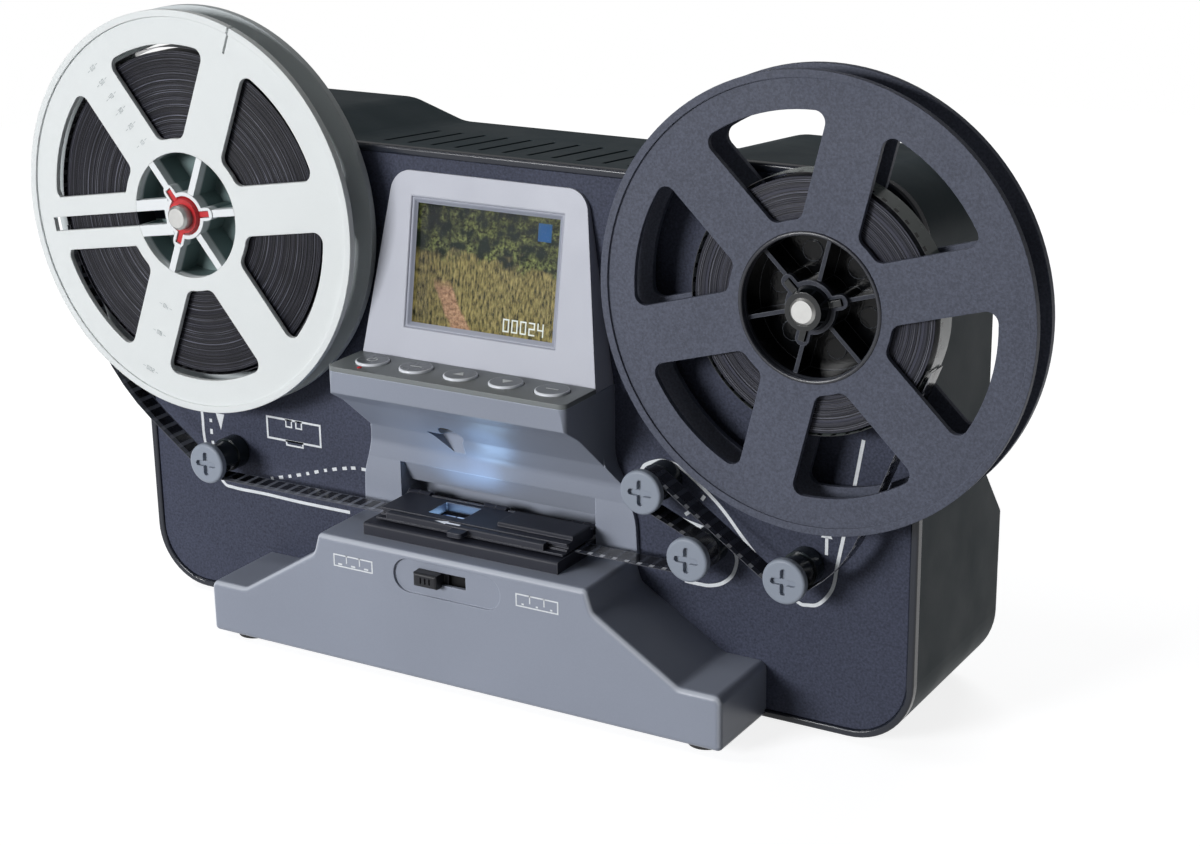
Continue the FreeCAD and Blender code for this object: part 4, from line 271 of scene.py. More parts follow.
gate_black = plastic("gate_black", linear(38, 40, 50), 0.5, grain=0.04, spread=0.1, bevel=0.45, edge=0.9,
                     edge_highlight_lift=0.16, Specular_IOR_Level=0.3)
inner_white = plastic("inner_white", linear(228, 228, 224), 0.5)
lens_black = plastic("lens_black", linear(20, 20, 23), 0.2)
socket_black = plastic("socket_black", linear(14, 14, 16), 0.4, Specular_IOR_Level=0.2)
rubber = plastic("rubber_black", linear(24, 24, 25), 0.7, grain=0.2)
bush_black = plastic("bush_plastic", linear(40, 42, 45), 0.4)
reel_white = plastic("reel_white", linear(225, 229, 229), 0.42, grain=0.06, spread=0.015, Specular_IOR_Level=0.3,
                     Subsurface_Weight=0.3, Subsurface_Radius=(1.0, 1.0, 1.0), Subsurface_Scale=0.0012)
adaptor_red = plastic("adaptor_red", linear(188, 34, 40), 0.28, bevel=0.2)
adaptor_black = plastic("adaptor_black", linear(16, 20, 22), 0.12, bevel=0.3, edge=0.8, edge_highlight_lift=0.12)
knob_black = plastic("switch_black", linear(34, 35, 40), 0.35, bevel=0.2, edge=0.6, Specular_IOR_Level=0.25)
steel = metal("steel", (0.40, 0.40, 0.39), 0.46, scratch=0.03)
pin_metal = metal("pin_metal", (0.16, 0.16, 0.17), 0.25, "X", scratch=0.05)
can_metal = metal("motor_metal", (0.50, 0.51, 0.52), 0.35)


def plinth_material():
    """The body's grey, with a painted highlight on the rounds about its front face."""
    m = plastic("body_grey_plinth", GREY, 0.34, grain=0.05, spread=0.04, bevel=0.5, edge=0.4, edge_highlight_lift=0.08,
                Specular_IOR_Level=0.3)
    _, toward, up = m.split(m.add("ShaderNodeNewGeometry").outputs["Normal"])
    # A painted highlight on the rounds between the front face and the faces above and beside it.
    band = m.math("MULTIPLY", m.band(toward, -0.97, -0.84, -0.5, -0.3), m.span(up, -0.25, 0.1, 0.0, 0.6))
    m.set(Base_Color=m.mix(band, m.source("Base Color"), linear(206, 211, 220)))
    return m


def depth_span(m, near, far):
    """0 in front of one depth, 1 behind another."""
    return m.span(m.split()["Y"], (near + SHIFT.y) * MM, (far + SHIFT.y) * MM)


def off_spindle(m, centre):
    """How far across and up from a spindle's middle line, in metres."""
    x, _, z = m.split(m.vector("SUBTRACT", m.place, tuple(at(centre[0], 0, centre[1]))))
    return x, z


def hub_distance(m, centre):
    """Distance from a spindle's middle line, in millimetres."""
    return m.math("MULTIPLY", m.length(*off_spindle(m, centre)), 1000.0)


def white_back_material():
    """The rear half of the pale reel: its hub's front edges as pale as the front, with painted shade making it greyer
    in the hub's recesses.
    """
    pale = linear(230, 234, 236)
    m = plastic("reel_white_back", pale, 0.45, grain=0.08, spread=0.03, Specular_IOR_Level=0.35)
    painted_shade_depth = depth_span(m, -13.4, -12.4)
    inner = m.span(hub_distance(m, SUPPLY), 20.5, 21.5, 1.0, 0.0)
    # Painted shade: full grey inside the hub behind its front, a little grey on the rest of the rear half.
    grey = m.math("MAXIMUM", m.math("MULTIPLY", painted_shade_depth, inner), m.math("MULTIPLY", painted_shade_depth, 0.35))
    m.set(Base_Color=m.mix(grey, pale, linear(112, 130, 130)))
    return m


def black_reel_material():
    """Grained black reel. Its hub is glossy and a darker black of its own, painted blacker further in as painted
    shade, and its ribs' front edges carry a painted highlight.
    """
    m = plastic("reel_black", linear(80, 84, 98), 0.5, grain=0.4, grain_size=0.7, spread=0.24, speckle=0.75,
                edge=0.25, Specular_IOR_Level=0.2)
    painted_shade_depth = depth_span(m, -13.6, -13.0)
    inner = m.span(hub_distance(m, TAKE_UP), 20.2, 20.4, 1.0, 0.0)
    # The hub's front faces take its own darker black; the faces further in go fully black, a painted shade.
    hub_black_and_painted_shade = m.math("MULTIPLY", m.math("MAXIMUM", painted_shade_depth, 0.62), inner)
    # A painted highlight along the edges inside the hub, the ribs' edges among them.
    painted_rib_highlight = m.math("MULTIPLY", inner, painted_highlight_share(m, 0.4, 0.85))
    blackened = m.mix(hub_black_and_painted_shade, m.source("Base Color"), linear(6, 7, 9))
    gloss = m.add("ShaderNodeMix", {"data_type": "FLOAT"})
    for index, value in ((0, hub_black_and_painted_shade), (2, m.source("Roughness")), (3, 0.16)):
        m.feed(gloss.inputs[index], value)
    m.set(Base_Color=m.mix(painted_rib_highlight, blackened, linear(112, 116, 124)), Roughness=gloss.outputs[0])
    return m


def board_material():
    """Green lacquer over copper tracks."""
    m = Material("board_green")
    cells = m.add("ShaderNodeTexBrick", Vector=m.place, Scale=420.0)
    tracks = m.span(cells.outputs["Fac"], 0.4, 0.6)
    m.set(Base_Color=m.mix(tracks, linear(20, 92, 52), linear(46, 128, 74)), Roughness=0.35,
          Normal=m.bump(tracks, 0.2, 0.0001))
    return m


def roller_material(side):
    """A satin grey head on a glossy dark barrel, told apart by depth."""
    satin = linear(142, 150, 163)
    m = plastic(f"roller_{side}", satin, 0.4, grain=0.05, Specular_IOR_Level=0.3)
    barrel = depth_span(m, FILM_FRONT - 0.15, FILM_FRONT - 0.05)
    m.set(Base_Color=m.mix(barrel, satin, linear(36, 43, 47)), Roughness=m.span(barrel, 0.0, 1.0, 0.42, 0.16))
    return m


def button_material():
    """Domed caps with a painted highlight round the rim, brightest at the front, told apart by place along the row.
    """
    m = plastic("button_grey", linear(108, 113, 116), 0.3, grain=0.03, spread=0.03)
    x, y, _ = m.split()
    steps = m.math("DIVIDE", m.math("SUBTRACT", x, SHIFT.x * MM), BUTTON_STEP * MM)
    share = m.math("FRACT", m.math("ADD", steps, 0.5))
    across = m.math("MULTIPLY", m.math("SUBTRACT", share, 0.5), BUTTON_STEP)
    out = m.math("SUBTRACT", m.math("MULTIPLY", y, 1000.0), BUTTON_ROW + SHIFT.y)
    # A painted highlight: a pale ring round each cap's rim, strongest on its front side.
    rim = m.band(m.length(across, out), 4.75, 4.95, 5.5, 5.65)
    rim = m.math("MULTIPLY", rim, m.span(out, 4.0, -1.0, 0.35, 1.0))
    m.set(Base_Color=m.mix(rim, m.source("Base Color"), linear(226, 230, 236)))
    return m


def lit_material():
    """Milky diffuser, brightest over the lamp behind its middle."""
    m = Material("diffuser_white")
    away = m.vector("DISTANCE", m.place, tuple(at(LAMP_ACROSS, LAMP_BACK - 0.8, 46)))
    glow = m.span(away, 0.001, 0.009, 1.0, 0.45)
    m.set(Base_Color=linear(205, 222, 240), Roughness=0.35, Emission_Strength=1.6,
          Emission_Color=m.mix(glow, linear(70, 130, 225), linear(190, 220, 255)))
    return m


def glass_material():
    """The screen's clear window."""
    m = Material("screen_glass")
    m.set(Base_Color=m.mix(m.noise(60.0), (0.90, 0.92, 0.94), (0.97, 0.98, 0.99)), Roughness=0.04,
          Transmission_Weight=1.0, IOR=1.06)
    return m


dress(housing, "rear_housing")
dress(panel, "front_panel")
dress(trim, "panel_trim")
dress(body, "base_cover", "console_body")
dress(plinth_material(), "base_plinth")
dress(bezel, "lcd_bezel")
dress(plate, "button_plate")
dress(button_material(), *[f"button_{i}" for i in range(1, 6)])
dress(red_light, "status_led")
dress(gate_black, "gate_tray", "gate_door", "gate_latch")
dress(lit_material(), "light_diffuser")
dress(inner_white, "backlight_box")
dress(pin_metal, "gate_hinge_pin")
dress(steel, "supply_shaft", "take_up_shaft", "roller_posts", "housing_screws", "motor_bracket")
dress(can_metal, "take_up_motor", "advance_motor")
dress(lens_black, "camera_lens_barrel", "lcd_module")
dress(board_material(), "camera_board", "main_board", "button_board")
dress(socket_black, "switch_block", "dc_inlet", "usb_socket", "tv_jack", "sd_card_slot")
dress(rubber, "drive_belt", "rubber_feet")
dress(bush_black, "spindle_bushes", "take_up_pulley", "motor_pulley")
dress(reel_white, "supply_reel_front")
dress(white_back_material(), "supply_reel_back")
dress(black_reel_material(), "take_up_reel_back", "take_up_reel_front")
dress(adaptor_red, "supply_adaptor")
dress(adaptor_black, "take_up_adaptor")
dress(knob_black, "format_switch")
dress(glass_material(), "lcd_window")
for side in ("left", "upper", "middle", "lower"):
    dress(roller_material(side), f"roller_{side}")


# Pieces

def piece(name, vertices, faces, material, rides_on, smooth=False, uv=None):
    """A mesh from millimetre points, on a body."""
    mesh = bpy.data.meshes.new(name)
    mesh.from_pydata([tuple(at(*v)) for v in vertices], [], faces)
    if uv:
        layer = mesh.uv_layers.new(name="film")
        for loop in mesh.loops:
            layer.data[loop.index].uv = uv[loop.vertex_index]
    mesh.materials.append(material.data)
    for polygon in mesh.polygons:
        polygon.use_smooth = smooth
    mesh.update()
    obj = add_object(name, mesh)
    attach(obj, rides_on)
    return obj


def polar(centre, radius, angle):
    return Vector((centre[0] + math.cos(angle) * radius, 0, centre[1] + math.sin(angle) * radius))


CURVE_PARTS = 8


def smooth_route(points):
    """A smooth curve through points in the plane."""
    points = [Vector((x, 0, z)) for x, z in points]
    ends = [points[0] * 2 - points[1]] + points + [points[-1] * 2 - points[-2]]
    route = []
    for a, b, c, d in zip(ends, ends[1:], ends[2:], ends[3:]):
        for i in range(CURVE_PARTS):
            t = i / CURVE_PARTS
            route.append((b * 2 + (c - a) * t + (a * 2 - b * 5 + c * 4 - d) * t ** 2
                          + (b * 3 - a - c * 3 + d) * t ** 3) / 2)
    route.append(points[-1])
    return route


def even_route(route, step):
    """The same route in steps of one length, with the distance gone at each point."""
    lengths = [0.0]
    for a, b in zip(route, route[1:]):
        lengths.append(lengths[-1] + (b - a).length)
    total = lengths[-1]
    count = max(2, round(total / step))
    out = []
    k = 0
    for i in range(count + 1):
        goal = total * i / count
        while k < len(lengths) - 2 and lengths[k + 1] < goal:
            k += 1
        gap = max(lengths[k + 1] - lengths[k], 1e-9)
        out.append((route[k].lerp(route[k + 1], (goal - lengths[k]) / gap), goal))
    return out


def sideways(route, i):
    """The direction square to a route in the plane at a point."""
    a = route[max(i - 1, 0)]
    b = route[min(i + 1, len(route) - 1)]
    along = (b - a).normalized()
    return Vector((-along.z, 0, along.x))


def printed_line(name, route, width, level, material, dashes):
    """A line printed on the front panel at a depth, solid or in dashes given as length and gap."""
    vertices = []
    faces = []
    run = []

    def close():
        """Draw the points gathered so far as one band."""
        if len(run) < 2:
            return
        first = len(vertices)
        for k, point in enumerate(run):
            side = sideways(run, k) * width / 2
            vertices.append(tuple(point + side + Vector((0, level, 0))))
            vertices.append(tuple(point - side + Vector((0, level, 0))))
        for a in range(first, len(vertices) - 2, 2):
            faces.append((a, a + 1, a + 3, a + 2))

    for point, gone in even_route(route, LINE_STEP):
        if dashes and gone % sum(dashes) > dashes[0]:
            close()
            run.clear()
        else:
            run.append(point)
    close()
    return piece(name, vertices, faces, material, "scanner")


def on_wall(depth):
    """Places on an upright face at a depth."""
    return lambda x, z: (x, depth, z)


def on_top(height):
    """Places on a level face at a height."""
    return lambda x, y: (x, y, height)


def printed(name, outlines, spot, material, body_name):
    """Flat printed shapes, each a convex outline in two measures that spot turns into a place."""
    vertices = []
    faces = []
    for outline in outlines:
        faces.append(tuple(range(len(vertices), len(vertices) + len(outline))))
        vertices += [spot(*corner) for corner in outline]
    return piece(name, vertices, faces, material, body_name)


def bar(x0, z0, x1, z1):
    return [(x0, z0), (x1, z0), (x1, z1), (x0, z1)]


def frame_outline(x0, z0, x1, z1, line):
    """A box drawn in four bars."""
    return [
        bar(x0, z0, x1, z0 + line), bar(x0, z1 - line, x1, z1),
        bar(x0, z0 + line, x0 + line, z1 - line), bar(x1 - line, z0 + line, x1, z1 - line),
    ]


def ring_bars(centre, radius, line, start, end):
    """Part of a ring as four-sided outlines of about ten degrees each."""
    out = []
    count = round((end - start) / 10)
    for i in range(count):
        a, b = (math.radians(start + (end - start) * k / count) for k in (i, i + 1))
        corners = ((a, radius + line / 2), (b, radius + line / 2), (b, radius - line / 2), (a, radius - line / 2))
        out.append([(centre[0] + math.cos(t) * r, centre[1] + math.sin(t) * r) for t, r in corners])
    return out


def print_material(name, colour, wear=0.12):
    """Screen-printed ink, a little thin in places."""
    m = Material(name)
    thin = m.span(m.noise(700.0, 3.0, 0.7), 0.35, 0.7)
    m.set(Base_Color=m.mix(thin, colour, dim(colour, 1 - wear)), Roughness=m.span(thin, 0.0, 1.0, 0.5, 0.62))
    return m


white_ink = print_material("ink_white", linear(226, 230, 234))
pale_ink = print_material("ink_pale", linear(226, 230, 230))


# Print on the panel

INK = -0.05
LINE_WIDTH = 1.1
LINE_STEP = 0.6
DASHES = (2.3, 1.6)

LEFT_SOLID = [(-118.6, 72.0), (-118.0, 64.4), (-117.2, 53.8), (-111.2, 42.3), (-106.0, 40.5), (-93.2, 40.5),
              (-77.5, 40.1), (-58.1, 40.1)]
LEFT_DASHED = [(-114.9, 72.0), (-114.5, 64.5), (-113.8, 53.5), (-108.5, 45.3), (-101.5, 43.8), (-95.0, 45.1),
               (-88.5, 46.9), (-81.1, 48.9), (-73.7, 51.1), (-66.4, 53.4), (-56.2, 55.8), (-50.2, 56.1)]
RIGHT_SOLID = [(51.3, 73.2), (53.0, 75.3), (57.7, 77.2), (61.9, 77.1), (66.2, 75.2), (74.4, 69.2),
               (79.4, 64.6), (84.4, 58.9), (89.4, 53.5), (92.7, 50.2), (98.0, 45.0), (103.7, 40.9), (106.6, 40.7),
               (109.8, 41.5), (112.9, 44.7), (114.8, 48.6), (115.8, 55.0), (117.6, 64.2), (120.7, 80.7),
               (123.0, 94.1)]
MIDDLE_LOOP = [(66.0, 40.4), (70.7, 40.3), (74.5, 40.5), (78.7, 42.1), (82.0, 45.3), (83.4, 49.6), (82.8, 52.6),
               (80.3, 55.7), (77.0, 57.3), (72.8, 58.5), (66.9, 59.6), (64.0, 60.3)]
RIGHT_DASHED = [(62.8, 59.0), (64.8, 60.6), (67.5, 62.7), (70.0, 65.3), (71.8, 67.4), (73.0, 69.2)]

for name, points, dashes in (
    ("print_line_left", LEFT_SOLID, None), ("print_dashes_left", LEFT_DASHED, DASHES),
    ("print_line_right", RIGHT_SOLID, None), ("print_loop_right", MIDDLE_LOOP, None),
    ("print_dashes_right", RIGHT_DASHED, DASHES),
):
    printed_line(name, smooth_route(points), LINE_WIDTH, INK, white_ink, dashes)

arrow_up = [bar(111.8, 57.4, 112.8, 62.8), [(110.5, 62.6), (114.1, 62.6), (112.3, 66.2)]]
arrow_down = [[(-112.1, 66.0), (-110.3, 60.3), (-108.5, 66.0)]]
printed("print_arrow_right", arrow_up, on_wall(INK), white_ink, "scanner")
printed("print_arrow_left", arrow_down, on_wall(INK), white_ink, "scanner")
diagram = frame_outline(-90.7, 60.6, -68.3, 68.6, 0.7) + frame_outline(-83.0, 59.2, -75.7, 61.2, 0.6)
diagram += frame_outline(-82.8, 65.6, -80.0, 68.4, 0.5) + frame_outline(-78.7, 65.6, -75.9, 68.4, 0.5)
printed("print_diagram", diagram, on_wall(INK), white_ink, "scanner")


# Print on the gate, the console and the plinth

LATCH_TOP = 51.95
PLINTH_FACE = -29.75

arrow = [[(-11.6, -18.55), (-7.0, -17.35), (-7.0, -19.75)], bar(-7.2, -18.0, -2.2, -19.1)]
arrow_ink_painted_glow = print_material("ink_arrow", linear(236, 238, 242), 0.05)
# A faint painted glow lifts the arrow's ink above what its top face's light gives.
arrow_ink_painted_glow.set(Emission_Color=(0.8, 0.84, 0.9, 1.0), Emission_Strength=0.22)
printed("gate_arrow", arrow, on_top(LATCH_TOP), arrow_ink_painted_glow, "latch")

triangle_up = [[(-1.9, -1.3), (1.9, -1.3), (0.0, 1.7)]]
triangle_down = [[(-1.9, 1.3), (0.0, -1.7), (1.9, 1.3)]]
dash = [bar(-2.1, -0.35, 2.1, 0.35)]
power = ring_bars((0.0, -0.2), 1.5, 0.5, 120.0, 420.0) + [bar(-0.25, 0.2, 0.25, 2.0)]
for i, icon in enumerate((power, dash, triangle_up, triangle_down, dash)):
    x = BUTTON_STEP * (i - 2)
    shapes = [[(x + a, BUTTON_ROW + b) for a, b in outline] for outline in icon]
    printed(f"button_{i + 1}_icon", shapes, on_top(BUTTON_TOP), pale_ink, f"button_{i + 1}_key")


def film_sign(x0, x1, hole):
    """A generic piece of film: frames in a row, each with its perforation."""
    z0, z1 = 34.9, 39.1
    wide = (x1 - x0) / 3
    outlines = frame_outline(x0, z0, x1, z1, 0.45)
    for i in range(3):
        left = x0 + wide * i
        if i:
            outlines.append(bar(left - 0.2, z0 + 1.5, left + 0.2, z1))
        outlines.append(bar(left + wide / 2 - hole / 2, z0 + 0.7, left + wide / 2 + hole / 2, z0 + 1.25))
    return outlines


printed("plinth_sign_left", film_sign(-42.8, -27.8, 1.6), on_wall(PLINTH_FACE), white_ink, "scanner")
printed("plinth_sign_right", film_sign(24.6, 39.6, 0.8), on_wall(PLINTH_FACE), white_ink, "scanner")


# Reels

def turned(name, centre, profile, around, material, body_name, slot, smooth=False):
    """A ring turned about a spindle's middle line from a closed profile of radius and depth."""
    n = len(profile)
    vertices, faces = [], []
    for i in range(around):
        for radius, y in profile:
            spot = polar(centre, radius, 2 * math.pi * i / around)
            vertices.append((spot.x, y, spot.z))
        a, b = n * i, n * ((i + 1) % around)
        faces += [(a + k, b + k, b + (k + 1) % n, a + (k + 1) % n) for k in range(n)]
    return piece(name, vertices, faces, material, body_name, smooth=smooth)


# The spokes' face lies this far behind the front of a reel's rim.
RIM_PROUD = 0.6
HUB_RING_AROUND = 96
take_up_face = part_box("take_up_reel_front")[0].y / MM - SHIFT.y + RIM_PROUD
supply_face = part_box("supply_reel_front")[0].y / MM - SHIFT.y + RIM_PROUD
black_gloss = plastic("hub_ring", linear(40, 42, 50), 0.25, grain=0.05)
ring_profile = [(20.3, take_up_face + 0.4), (20.3, take_up_face - 0.2), (20.5, take_up_face - 0.38),
                (20.9, take_up_face - 0.42), (21.3, take_up_face - 0.3), (21.5, take_up_face + 0.1)]
turned("hub_ring", TAKE_UP, ring_profile, HUB_RING_AROUND, black_gloss, "take_up_reel", "reel_black", smooth=True)


SEGMENTS = {
    "0": "abcdef", "1": "bc", "2": "abged", "3": "abgcd",
    "4": "fgbc", "5": "afgcd", "6": "afgedc", "8": "abcdefg",
}
DIGIT_STEP = 1.38


def number(text, left, foot, wide, high, line):
    """A number made of bars. Its digits are DIGIT_STEP times their own width apart."""
    bars = []
    for i, character in enumerate(text):
        x0 = left + i * wide * DIGIT_STEP
        x1, z0, z1 = x0 + wide, foot, foot + high
        half = (z0 + z1) / 2
        shapes = {
            "a": bar(x0, z1 - line, x1, z1), "d": bar(x0, z0, x1, z0 + line),
            "g": bar(x0, half - line / 2, x1, half + line / 2),
            "f": bar(x0, half, x0 + line, z1), "e": bar(x0, z0, x0 + line, half),
            "b": bar(x1 - line, half, x1, z1), "c": bar(x1 - line, z0, x1, half),
        }
        bars += [shapes[s] for s in SEGMENTS[character]]
    return bars


def spoke_marks(angle, marks, aside):
    """A scale of plain numbers along a spoke, each between two strokes, square to the spoke."""
    up = Vector((math.cos(math.radians(angle)), math.sin(math.radians(angle))))
    right = Vector((up.y, -up.x))
    outlines = []
    wide = 0.85
    for text, reach in marks:
        half = (len(text) * DIGIT_STEP - (DIGIT_STEP - 1)) * wide / 2
        shapes = number(text, -half, -0.7, wide, 1.4, 0.18)
        shapes += [bar(-half - 1.7, -0.09, -half - 0.6, 0.09), bar(half + 0.6, -0.09, half + 1.7, 0.09)]
        for outline in shapes:
            spots = [up * (reach + z) + right * (x + aside) for x, z in outline]
            outlines.append([(SUPPLY[0] + spot.x, SUPPLY[1] + spot.y) for spot in spots])
    return outlines


mark_ink = print_material("reel_marks", linear(176, 184, 186))
marks = spoke_marks(129, (("10", 27), ("20", 33.5), ("30", 39.5), ("40", 45), ("50", 50.5), ("60", 56)), 1.5)
marks += spoke_marks(249, (("40", 33), ("80", 43), ("200", 57)), -1.0)
printed("reel_marks", marks, on_wall(supply_face - 0.04), mark_ink, "supply_reel")


# Film

def film_material(name, ground, hole, edge_tone, picture_tone=None, left_sheen_tone=None):
    """Film from its own length and width, with perforations near the front edge.

    If a picture tone is given, there are dull pictures behind them, and both go greyer towards the left as a painted
    sheen.
    """
    m = Material(name)
    along, across, _ = m.split(m.add("ShaderNodeUVMap", {"uv_map": "film"}).outputs["UV"])
    step = m.math("FRACT", m.math("DIVIDE", along, PERFORATION_PITCH))
    in_hole = m.math("MULTIPLY", m.math("LESS_THAN", step, 0.34), m.between(across, 0.3, 1.9))
    tone = ground
    if picture_tone:
        picture = m.math("MULTIPLY", m.about(step, 0.64, 0.34), m.between(across, 2.0, 7.6))
        cloud = m.span(m.noise(520.0, 3.0, 0.6), 0.3, 0.7, 1.0, 0.75)
        tone = m.mix(m.math("MULTIPLY", picture, cloud), ground, picture_tone)
        # Painted sheen: towards the left the film and its holes are drawn towards one grey tone.
        far = m.span(m.split()["X"], 0.04, -0.04)
        hole = m.mix(far, hole, left_sheen_tone)
        tone = m.mix(m.math("MULTIPLY", far, 0.5), tone, m.mix(picture, left_sheen_tone, picture_tone))
    tone = m.mix(in_hole, tone, hole)
    tone = m.mix(m.math("LESS_THAN", across, 0.02), tone, edge_tone)
    wear = m.noise(300.0, 3.0, 0.6)
    m.set(Base_Color=tone, Roughness=m.span(wear, 0.3, 0.7, 0.16, 0.3), Normal=m.bump(wear, 0.08, 0.00005))
    return m


film_dark = film_material("film_black", linear(62, 65, 74), linear(222, 224, 228), linear(92, 94, 102),
                          linear(10, 10, 13), linear(150, 154, 164))
film_turn = film_material("film_turn_dark", linear(30, 30, 34), linear(90, 92, 94), linear(60, 60, 68))
leader = film_material("leader_pale", linear(126, 134, 132), linear(20, 20, 22), linear(30, 30, 34))


STRAIGHT_STEP = 3.0
BEND_STEP = math.radians(6)


def arc(centre, radius, sense, start, end):
    """Points on a circle between two places on it, leaving out both ends."""
    come, leave = (math.atan2(spot.z - centre[1], spot.x - centre[0]) for spot in (start, end))
    sweep = (sense * (leave - come)) % (2 * math.pi)
    bends = max(2, int(sweep / BEND_STEP))
    return [polar(centre, radius, come + sense * sweep * k / bends) for k in range(1, bends)]


def film_route(stops):
    """Points along the middle line of a strip led round circles given as centre, radius and sense."""
    runs = []
    for (c1, r1, s1), (c2, r2, s2) in zip(stops, stops[1:]):
        gap_x, gap_z = c2[0] - c1[0], c2[1] - c1[1]
        normal = math.atan2(gap_z, gap_x) + math.acos((s2 * r2 - s1 * r1) / math.hypot(gap_x, gap_z))
        runs.append((polar(c1, -s1 * r1, normal), polar(c2, -s2 * r2, normal)))
    route = []
    for i, (start, end) in enumerate(runs):
        count = max(2, int((end - start).length / STRAIGHT_STEP))
        route += [start.lerp(end, k / count) for k in range(count + 1)]
        if i + 1 < len(runs):
            route += arc(*stops[i + 1], end, runs[i + 1][0])
    return route


def section_faces(count, n, closed):
    """Four-sided faces between sections of n points each, one section after another."""
    faces = []
    for i in range(count if closed else count - 1):
        a, b = n * i, n * ((i + 1) % count)
        faces += [(a + k, a + (k + 1) % n, b + (k + 1) % n, b + k) for k in range(n)]
    return faces


def strip(name, route, material, body_name):
    """Film along a route, four-sided, with its length and width as UV in millimetres."""
    vertices, uv = [], []
    gone = 0.0
    for i, point in enumerate(route):
        normal = sideways(route, i)
        if i:
            gone += (point - route[i - 1]).length
        for side, across in ((0.5, 0.0), (0.5, 1.0), (-0.5, 1.0), (-0.5, 0.0)):
            spot = point + normal * FILM_THICKNESS * side
            vertices.append((spot.x, FILM_FRONT + FILM_WIDTH * across, spot.z))
            uv.append((gone, FILM_WIDTH * across))
    last = 4 * (len(route) - 1)
    faces = section_faces(len(route), 4, closed=False) + [(0, 1, 2, 3), (last + 3, last + 2, last + 1, last)]
    return piece(name, vertices, faces, material, body_name, uv=uv)


# Radii of the film's middle line: round a roller, and in each reel's loose turn, which winds in by TURN_GROWTH and
# stays CLEAR of the strand.
ROLLER_WRAP = 5.425
SUPPLY_TURN, TAKE_UP_TURN = 53.325, 37.325
TURN_GROWTH = 0.7
CLEAR = 0.55

# The reels, the four rollers and the two slack bends, which have no roller, in the order that the strand passes them.
stops = [
    (SUPPLY, SUPPLY_TURN + CLEAR, 1), ((-88.0, 120.1), 67.9, 1), ((-104.0, 54.2), ROLLER_WRAP, 1),
    ((75.1, 54.2), ROLLER_WRAP, 1), ((59.8, 72.4), ROLLER_WRAP, -1), ((106.3, 53.5), ROLLER_WRAP, 1),
    ((89.1, 86.1), 42.0, 1), (TAKE_UP, TAKE_UP_TURN + CLEAR, 1),
]
route = film_route(stops)
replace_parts(strip("film_ribbon", route, film_dark, "scanner"), "film_strip")


def lit_film_material():
    """Film over the lamp, the lamp's light through it painted as glow: a row of small bright pictures between dark
    bars, blue at the edges.
    """
    m = Material("film_lit")
    along = m.math("DIVIDE", m.math("ADD", m.split()["X"], 0.1), PERFORATION_PITCH * MM)
    picture = m.about(m.math("FRACT", along), 0.5, 0.42)
    # Painted light: the glow is brightest right over the lamp.
    near = m.span(m.vector("DISTANCE", m.place, tuple(at(LAMP_ACROSS, LAMP_BACK, 48.9))), 0.001, 0.0065, 1.0, 0.0)
    blur = m.span(m.noise(420.0, 2.0), 0.35, 0.65, 0.55, 1.0)
    light = m.mix(near, linear(28, 66, 128), linear(196, 222, 255))
    glow = m.mix(m.math("MULTIPLY", picture, blur), linear(14, 26, 48), light)
    m.set(Base_Color=linear(20, 26, 36), Roughness=0.25, Emission_Color=glow, Emission_Strength=1.0)
    return m


def grid_faces(columns, rows):
    """The cells of a grid whose points run row by row."""
    wide = columns + 1
    return [(wide * j + i, wide * j + i + 1, wide * (j + 1) + i + 1, wide * (j + 1) + i)
            for j in range(rows) for i in range(columns)]


LIT_TOP = 48.94
lit_spots = [(-16.4 + 2.0 * i, -13.0 + 1.75 * j, LIT_TOP) for j in range(5) for i in range(7)]
piece("lit_film", lit_spots, grid_faces(6, 4), lit_film_material(), "scanner")


def turn_route(centre, radius, spot, inward):
    """One loose turn as two half arcs about shifted centres, so that it winds in."""
    angle = math.atan2(spot.z - centre[1], spot.x - centre[0])
    shift = TURN_GROWTH / 4
    out = Vector((math.cos(angle), 0, math.sin(angle)))
    route = []
    for i, (side, r) in enumerate(((1, radius - shift), (-1, radius - 3 * shift))):
        hub = (centre[0] + out.x * shift * side, centre[1] + out.z * shift * side)
        start = angle + math.pi * i * inward
        # 60 steps of 3 degrees for each half, and the second half ends on a point of its own.
        route += [polar(hub, r, start + inward * math.radians(3 * k)) for k in range(60 + i)]
    return route


